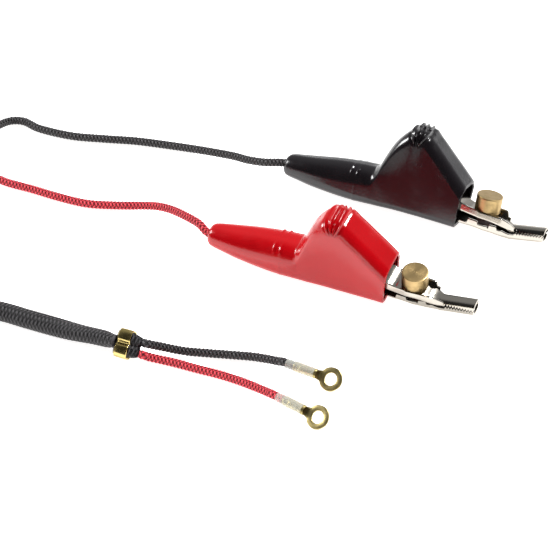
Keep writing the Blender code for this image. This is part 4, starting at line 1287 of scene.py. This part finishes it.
@dataclass
class Lug:
    """A ring lug: a stamped ring and neck, a crimped barrel and the clear tube over it."""

    lead: Lead
    stance: Stance
    finishes: Finishes
    ring_r: float = 4.0
    hole_r: float = 2.1
    thickness: float = 0.8
    neck_x: float = -6.2
    barrel_r: float = 1.6
    bore_r: float = 1.05
    lift: float = 0.6

    def tongue(self) -> Array:
        """The ring and its neck.

        Round the hole, the plate reaches out to the ring's circle, or to the neck's flank or end where the
        ray from the middle meets those first. Its cross-section is a rounded bar carried round that ring.
        """
        angles = np.linspace(-np.pi, np.pi, 144, endpoint=False)
        c, s = np.cos(angles), np.abs(np.sin(angles))
        ring = self.ring_r * (1 + 0.008 * np.cos(5 * angles + 1.0))
        # The flank runs from the neck's corner to the ring's side at 152 degrees.
        (x0, y0), (x1, y1) = (self.neck_x, 1.2), (-3.53, 1.88)
        flank = (x0 * (y1 - y0) - y0 * (x1 - x0)) / np.minimum(c * (y1 - y0) - s * (x1 - x0), -1e-6)
        end = self.neck_x / np.minimum(c, -1e-6)
        outer = np.where(np.abs(angles) < math.radians(152.0), ring, np.minimum(flank, end))
        half = self.thickness / 2
        upper = np.array([(0.0, 0.6), (0.06, 0.9), (0.12, 1.0), (0.88, 1.0), (0.94, 0.9), (1.0, 0.6)])
        bar = np.concatenate([upper, upper[::-1] * (1.0, -1.0)])
        radius = self.hole_r + (outer[:, None] - self.hole_r) * bar[:, 0]
        height = half * bar[:, 1] + 0 * radius
        return np.stack([radius * c[:, None], radius * np.sin(angles)[:, None], height], axis=2)

    def barrel(self) -> Array:
        """The barrel: a tube with a crimped dent near its lead end and a shallow one by the neck."""
        start, end = -5.0, -13.3
        x = np.concatenate([np.linspace(start, end, 64), np.linspace(end, start, 20)])
        outside = np.arange(84) < 64
        angles = np.linspace(0.0, 2 * np.pi, 56, endpoint=False)
        away = np.abs(np.angle(np.exp(1j * (angles - math.radians(100.0)))))
        dent = hump(x, end + 1.7, 0.55)[:, None] * hump(away, 0.0, 0.45) * 0.55
        press = hump(x, start - 1.6, 0.9)[:, None] * hump(away, 0.0, 0.8) * 0.18
        edge = np.where(outside, 1 - 0.05 * hump(x, start, 0.2) - 0.05 * hump(x, end, 0.2), 1.0)
        base = np.where(outside, self.barrel_r * edge, self.bore_r)[:, None]
        radius = base - np.where(outside[:, None], dent + press, dent * 0.6)
        flat = np.where(outside, 1 - 0.25 * hump(x, start, 0.8), 1.0)[:, None]
        y, z = radius * np.cos(angles), radius * np.sin(angles) * flat + self.lift * np.ones_like(radius)
        return np.stack([x[:, None] + 0 * y, y, z], axis=2)

    def build(self) -> bpy.types.Object:
        """Make the lug's brass."""
        skins = [Skin(self.stance.place(shape), round_rows=True) for shape in (self.tongue(), self.barrel())]
        return build_piece(f"{self.lead.value}_ring_lug", skins, self.finishes.lug)

    def build_tube(self) -> bpy.types.Object:
        """Make the clear tube, which is a little wider where it slips over the barrel's end."""
        x = np.linspace(-5.6, -16.0, 40)
        swell = 0.06 * hump(x, -13.2, 0.8) - 0.10 * step_between(-14.2, -15.6, x)
        outside = [(2.03 + s, v) for v, s in zip(x, swell, strict=True)]
        profile = outside + [(1.82 + s, v) for v, s in zip(x[::-1], swell[::-1], strict=True)]
        ring = revolve([*profile, profile[0]], 48, hollow=True)
        points = np.stack([ring[:, :, 2], ring[:, :, 0], ring[:, :, 1] + self.lift], axis=2)
        skin = Skin(self.stance.place(points), round_rows=True)
        return build_piece(f"{self.lead.value}_clear_tube", [skin], self.finishes.clear)


@dataclass
class Ferrule:
    """A brass strip crimped round the sleeve into two lobes, and the sleeve's end that tapers out of it."""

    name: str
    stance: Stance
    finishes: Finishes
    width: float = 9.8
    depth: float = 5.9
    wall: float = 0.5

    def outline(self, inset: float, waist: float) -> Array:
        """Two round lobes and the pinch between them, as (y, z) pairs all the way round.

        A point's height is the half depth of the lobe below it, less a narrow bell at the middle.
        """
        half_width, lobe = self.width / 2 - inset, self.depth / 2 - inset
        angles = np.linspace(0.0, 2 * np.pi, 120, endpoint=False)
        reach = half_width - lobe
        power = 3.2
        size = (np.abs(np.cos(angles)) ** power + np.abs(np.sin(angles)) ** power) ** (-1 / power)
        y = (reach + lobe) * size * np.cos(angles)
        z = lobe * size * np.sin(angles)
        return np.stack([y, z - np.sign(z) * waist * hump(y, 0.0, 0.75)], axis=1)

    def band(self) -> bpy.types.Object:
        """Make the band: its outline carried along its length outside and back inside, with rolled edges."""
        rows = []
        half = FERRULE_HALF
        stations = [(-half, 0.22), (-half + 0.12, 0.06), (-half + 0.35, 0.0), (0.0, -0.04)]
        stations += [(half - 0.35, 0.0), (half - 0.12, 0.06), (half, 0.22)]
        stations += [(half - 0.1, self.wall), (0.0, self.wall), (-half + 0.1, self.wall)]
        for x, inset in stations:
            ring = self.outline(inset, 1.0)
            rows.append(np.column_stack([np.full(len(ring), x), ring]))
        skin = Skin(self.stance.place(np.array(rows)), round_rows=True)
        return build_piece(f"{self.name}_band", [skin], self.finishes.band)

    def frayed_end(self) -> bpy.types.Object:
        """Make the sleeve's end: its outline narrowing past the band, with a ragged rim."""
        rows = []
        inset = self.wall + GAP
        stations = [(-FERRULE_HALF - 0.5, 0.0), (0.0, 0.0), (FERRULE_HALF, 0.0)]
        stations += [(3.3, 0.15), (4.4, 0.45), (5.2, 0.75), (5.45, 1.3)]
        for x, narrow in stations:
            ring = self.outline(inset + narrow, 0.6 + narrow * 0.4)
            ragged = 0.18 * np.sin(np.arange(len(ring)) * 2.9) * (x > 4.0)
            rows.append(np.column_stack([np.full(len(ring), x) + ragged, ring]))
        skin = Skin(self.stance.place(np.array(rows)), capped=True)
        return build_piece(f"{self.name}_frayed_end", [skin], self.finishes.sleeve, ALL_SMOOTH)


# ---------------------------------------------------------------- studio


@dataclass(frozen=True)
class Studio:
    """A pale floor, soft lights and the camera."""

    look_at: Point = (-0.0349, -0.01771, 0.0)
    distance: float = 1.085
    elevation: float = 37.0
    lens: float = 208.3

    def camera(self) -> None:
        """Stand the camera at its angle above the floor, looking along +Y."""
        angle = math.radians(self.elevation)
        data = bpy.data.cameras.new("camera")
        data.sensor_width = 36.0
        data.lens = self.lens
        data.clip_start = 0.01
        camera = bpy.data.objects.new("camera", data)
        x, y, z = self.look_at
        camera.location = (x, y - self.distance * math.cos(angle), z + self.distance * math.sin(angle))
        camera.rotation_euler = (math.radians(90.0 - self.elevation), 0.0, 0.0)
        bpy.context.scene.collection.objects.link(camera)
        bpy.context.scene.camera = camera

    def floor(self) -> None:
        """Lay the floor just under the cord, bright enough to lose its shadows.

        It ends a little way in front, so that upright faces mirror the dark room there.
        """
        side, front = 6.0, -0.36
        corners = [(x, y, FLOOR_Z) for x, y in ((-side, front), (side, front), (side, side), (-side, side))]
        mesh = bpy.data.meshes.new("floor")
        mesh.from_pydata(corners, [], [(0, 1, 2, 3)])
        paper = {
            "Base Color": (0.86, 0.86, 0.86),
            "Roughness": 0.9,
            "Emission Color": (1.0, 0.99, 0.98),
            "Emission Strength": 0.95,
        }
        mesh.materials.append(Graph("floor_paper").principled(paper))
        floor = bpy.data.objects.new("floor", mesh)
        bpy.context.scene.collection.objects.link(floor)

    def sun(self, name: str, towards: Point, strength: float, spread: float) -> None:
        """Hang a distant lamp in the given direction, with its spread in degrees."""
        data = bpy.data.lights.new(name, "SUN")
        data.energy = strength
        data.angle = math.radians(spread)
        lamp = bpy.data.objects.new(name, data)
        lamp.rotation_mode = "QUATERNION"
        lamp.rotation_quaternion = Vector(towards).to_track_quat("Z", "Y")
        bpy.context.scene.collection.objects.link(lamp)

    def sky(self) -> None:
        """Light from behind and above, with the room dark in front, and plain white to the camera itself.

        Brightness rises with the direction's y, and is highest in a band near the horizon behind.
        """
        graph = Graph("studio", world=True)
        where = graph.add("ShaderNodeTexCoord").outputs["Generated"]
        split = graph.add("ShaderNodeSeparateXYZ", None, {0: where})
        back, up = Field(graph, split.outputs[1]), Field(graph, split.outputs[2])
        behind = back.rise(-0.2, 0.6)
        band = behind * (1 - up.absolute().rise(0.12, 0.3)) * 0.5
        camera = graph.field("ShaderNodeLightPath", None, None, "Is Camera Ray")
        strength = camera + (1 - camera) * (0.03 + 0.32 * behind + band)
        light = graph.add("ShaderNodeBackground", None, {"Color": (0.97, 0.985, 1.0), "Strength": strength})
        graph.add("ShaderNodeOutputWorld", None, {"Surface": light.outputs[0]})
        bpy.context.scene.world = graph.owner

    def build(self) -> None:
        """Set everything up."""
        self.camera()
        self.floor()
        self.sun("key", (0.5, 0.2, 0.84), 3.6, 10.0)
        self.sun("left", (-0.9, 0.25, 0.4), 2.4, 20.0)
        self.sky()
        bpy.context.scene.view_settings.view_transform = "Standard"


# ---------------------------------------------------------------- assembly


def put(piece: bpy.types.Object, replaced: Sequence[str], body: str = BODY) -> bpy.types.Object:
    """Hang a finished piece on its body, and hide the nodes it stands for."""
    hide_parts(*replaced)
    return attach(piece, body)


def build_cords(finishes: Finishes) -> None:
    """Lay the leads and the sleeve with what is on them."""
    bands, ends = {}, {}
    for name, stance in (("clip", CLIP_FERRULE_STANCE), ("lug", LUG_FERRULE_STANCE)):
        ferrule = Ferrule(name, stance, finishes)
        bands[name] = put(ferrule.band(), [f"{name}_ferrule"])
        ends[name] = put(ferrule.frayed_end(), [f"{name}_sleeve_end"])
    inside = np.array(((19.5, 0, 2.2), (12.0, 0, 1.5), (4.0, 0, 1.05), (-1.0, 0, 0.95)))
    mouth = FERRULE_HALF + SLEEVE_END
    for lead in Lead:
        side = lead_side(lead)
        start = CLIP_STANCES[lead].place(inside)
        end = CLIP_FERRULE_STANCE.place(np.array(((mouth + GAP + 5.0, side, 0), (mouth + GAP, side, 0))))
        braided = BraidedLead(f"{lead.value}_clip_cord", lead, start, CLIP_LEAD_FLOOR[lead], end, finishes)
        piece = put(braided.build(), [f"{lead.value}_clip_lead"])
        route = braided.route(2.0)
        tail = CLIP_STANCES[lead].place(np.array(((0.0, 0.0, 1.0),)))[0]

        leaving = mouth + 2 * GAP
        start = LUG_FERRULE_STANCE.place(np.array(((leaving, side, 0), (leaving + 1.5, side, 0))))
        end = LUG_STANCES[lead].place(np.array([(-13.7 - back, 0, 0.6) for back in (4.5, 2.0, 0.0)]))
        braided = BraidedLead(f"{lead.value}_lug_cord", lead, start, LUG_LEAD_FLOOR[lead], end, finishes)
        piece = put(braided.build(), [f"{lead.value}_lug_lead"])
        lug = Lug(lead, LUG_STANCES[lead], finishes)
        ring = put(lug.build(), [f"{lead.value}_lug"])
        tube = put(lug.build_tube(), [f"{lead.value}_lug_sleeve"])
        route = braided.route(1.5)
    sleeve = Sleeve(finishes)
    piece = put(sleeve.build(), ["sleeve_to_lugs", "sleeve_coil", "sleeve_to_clips"])
    tie = put(sleeve.build_tie(), ["coil_tie"])
    route = smooth_route(sleeve.route(), 2.5 * MM)


def build_clip(lead: Lead, finishes: Finishes) -> None:
    """Build one clip, and finish the small nodes that stay."""
    colour = lead.value
    stance = CLIP_STANCES[lead]
    boot = Boot(lead, stance, finishes, *BOOT_FOLDS[lead])
    put(boot.build(), [f"{colour}_boot"])
    jaws = Jaws(lead, stance, finishes)
    put(jaws.lower(), [f"{colour}_lower_jaw"])
    put(jaws.upper(), [f"{colour}_upper_jaw"], f"{colour}_jaw")
    put(jaws.tabs(), [f"{colour}_upper_jaw"], f"{colour}_jaw")
    put(jaws.post(), [f"{colour}_nail_holder"], f"{colour}_jaw")
    kept: dict[str, bpy.types.Material] = {
        "pivot_pin": finishes.steel,
        "spring": finishes.steel,
        "nail_bed": finishes.steel,
        "terminal_screw": finishes.steel,
        "anvil": finishes.fibre,
        "conductor": finishes.copper,
        "lug_conductor": finishes.copper,
    }
    for node, material in kept.items():
        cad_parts[f"{colour}_{node}"].material_slots[0].material = material
        LOG.info("%s_%s keeps its shape and gets %s", colour, node, material.name)


def main() -> None:
    """Build the studio, the cords and the clips in order."""
    logging.basicConfig(level=logging.INFO, format="%(message)s")
    Studio().build()
    finishes = Finishes.make()
    build_cords(finishes)
    for lead in Lead:
        build_clip(lead, finishes)


if __name__ == "__main__":
    main()
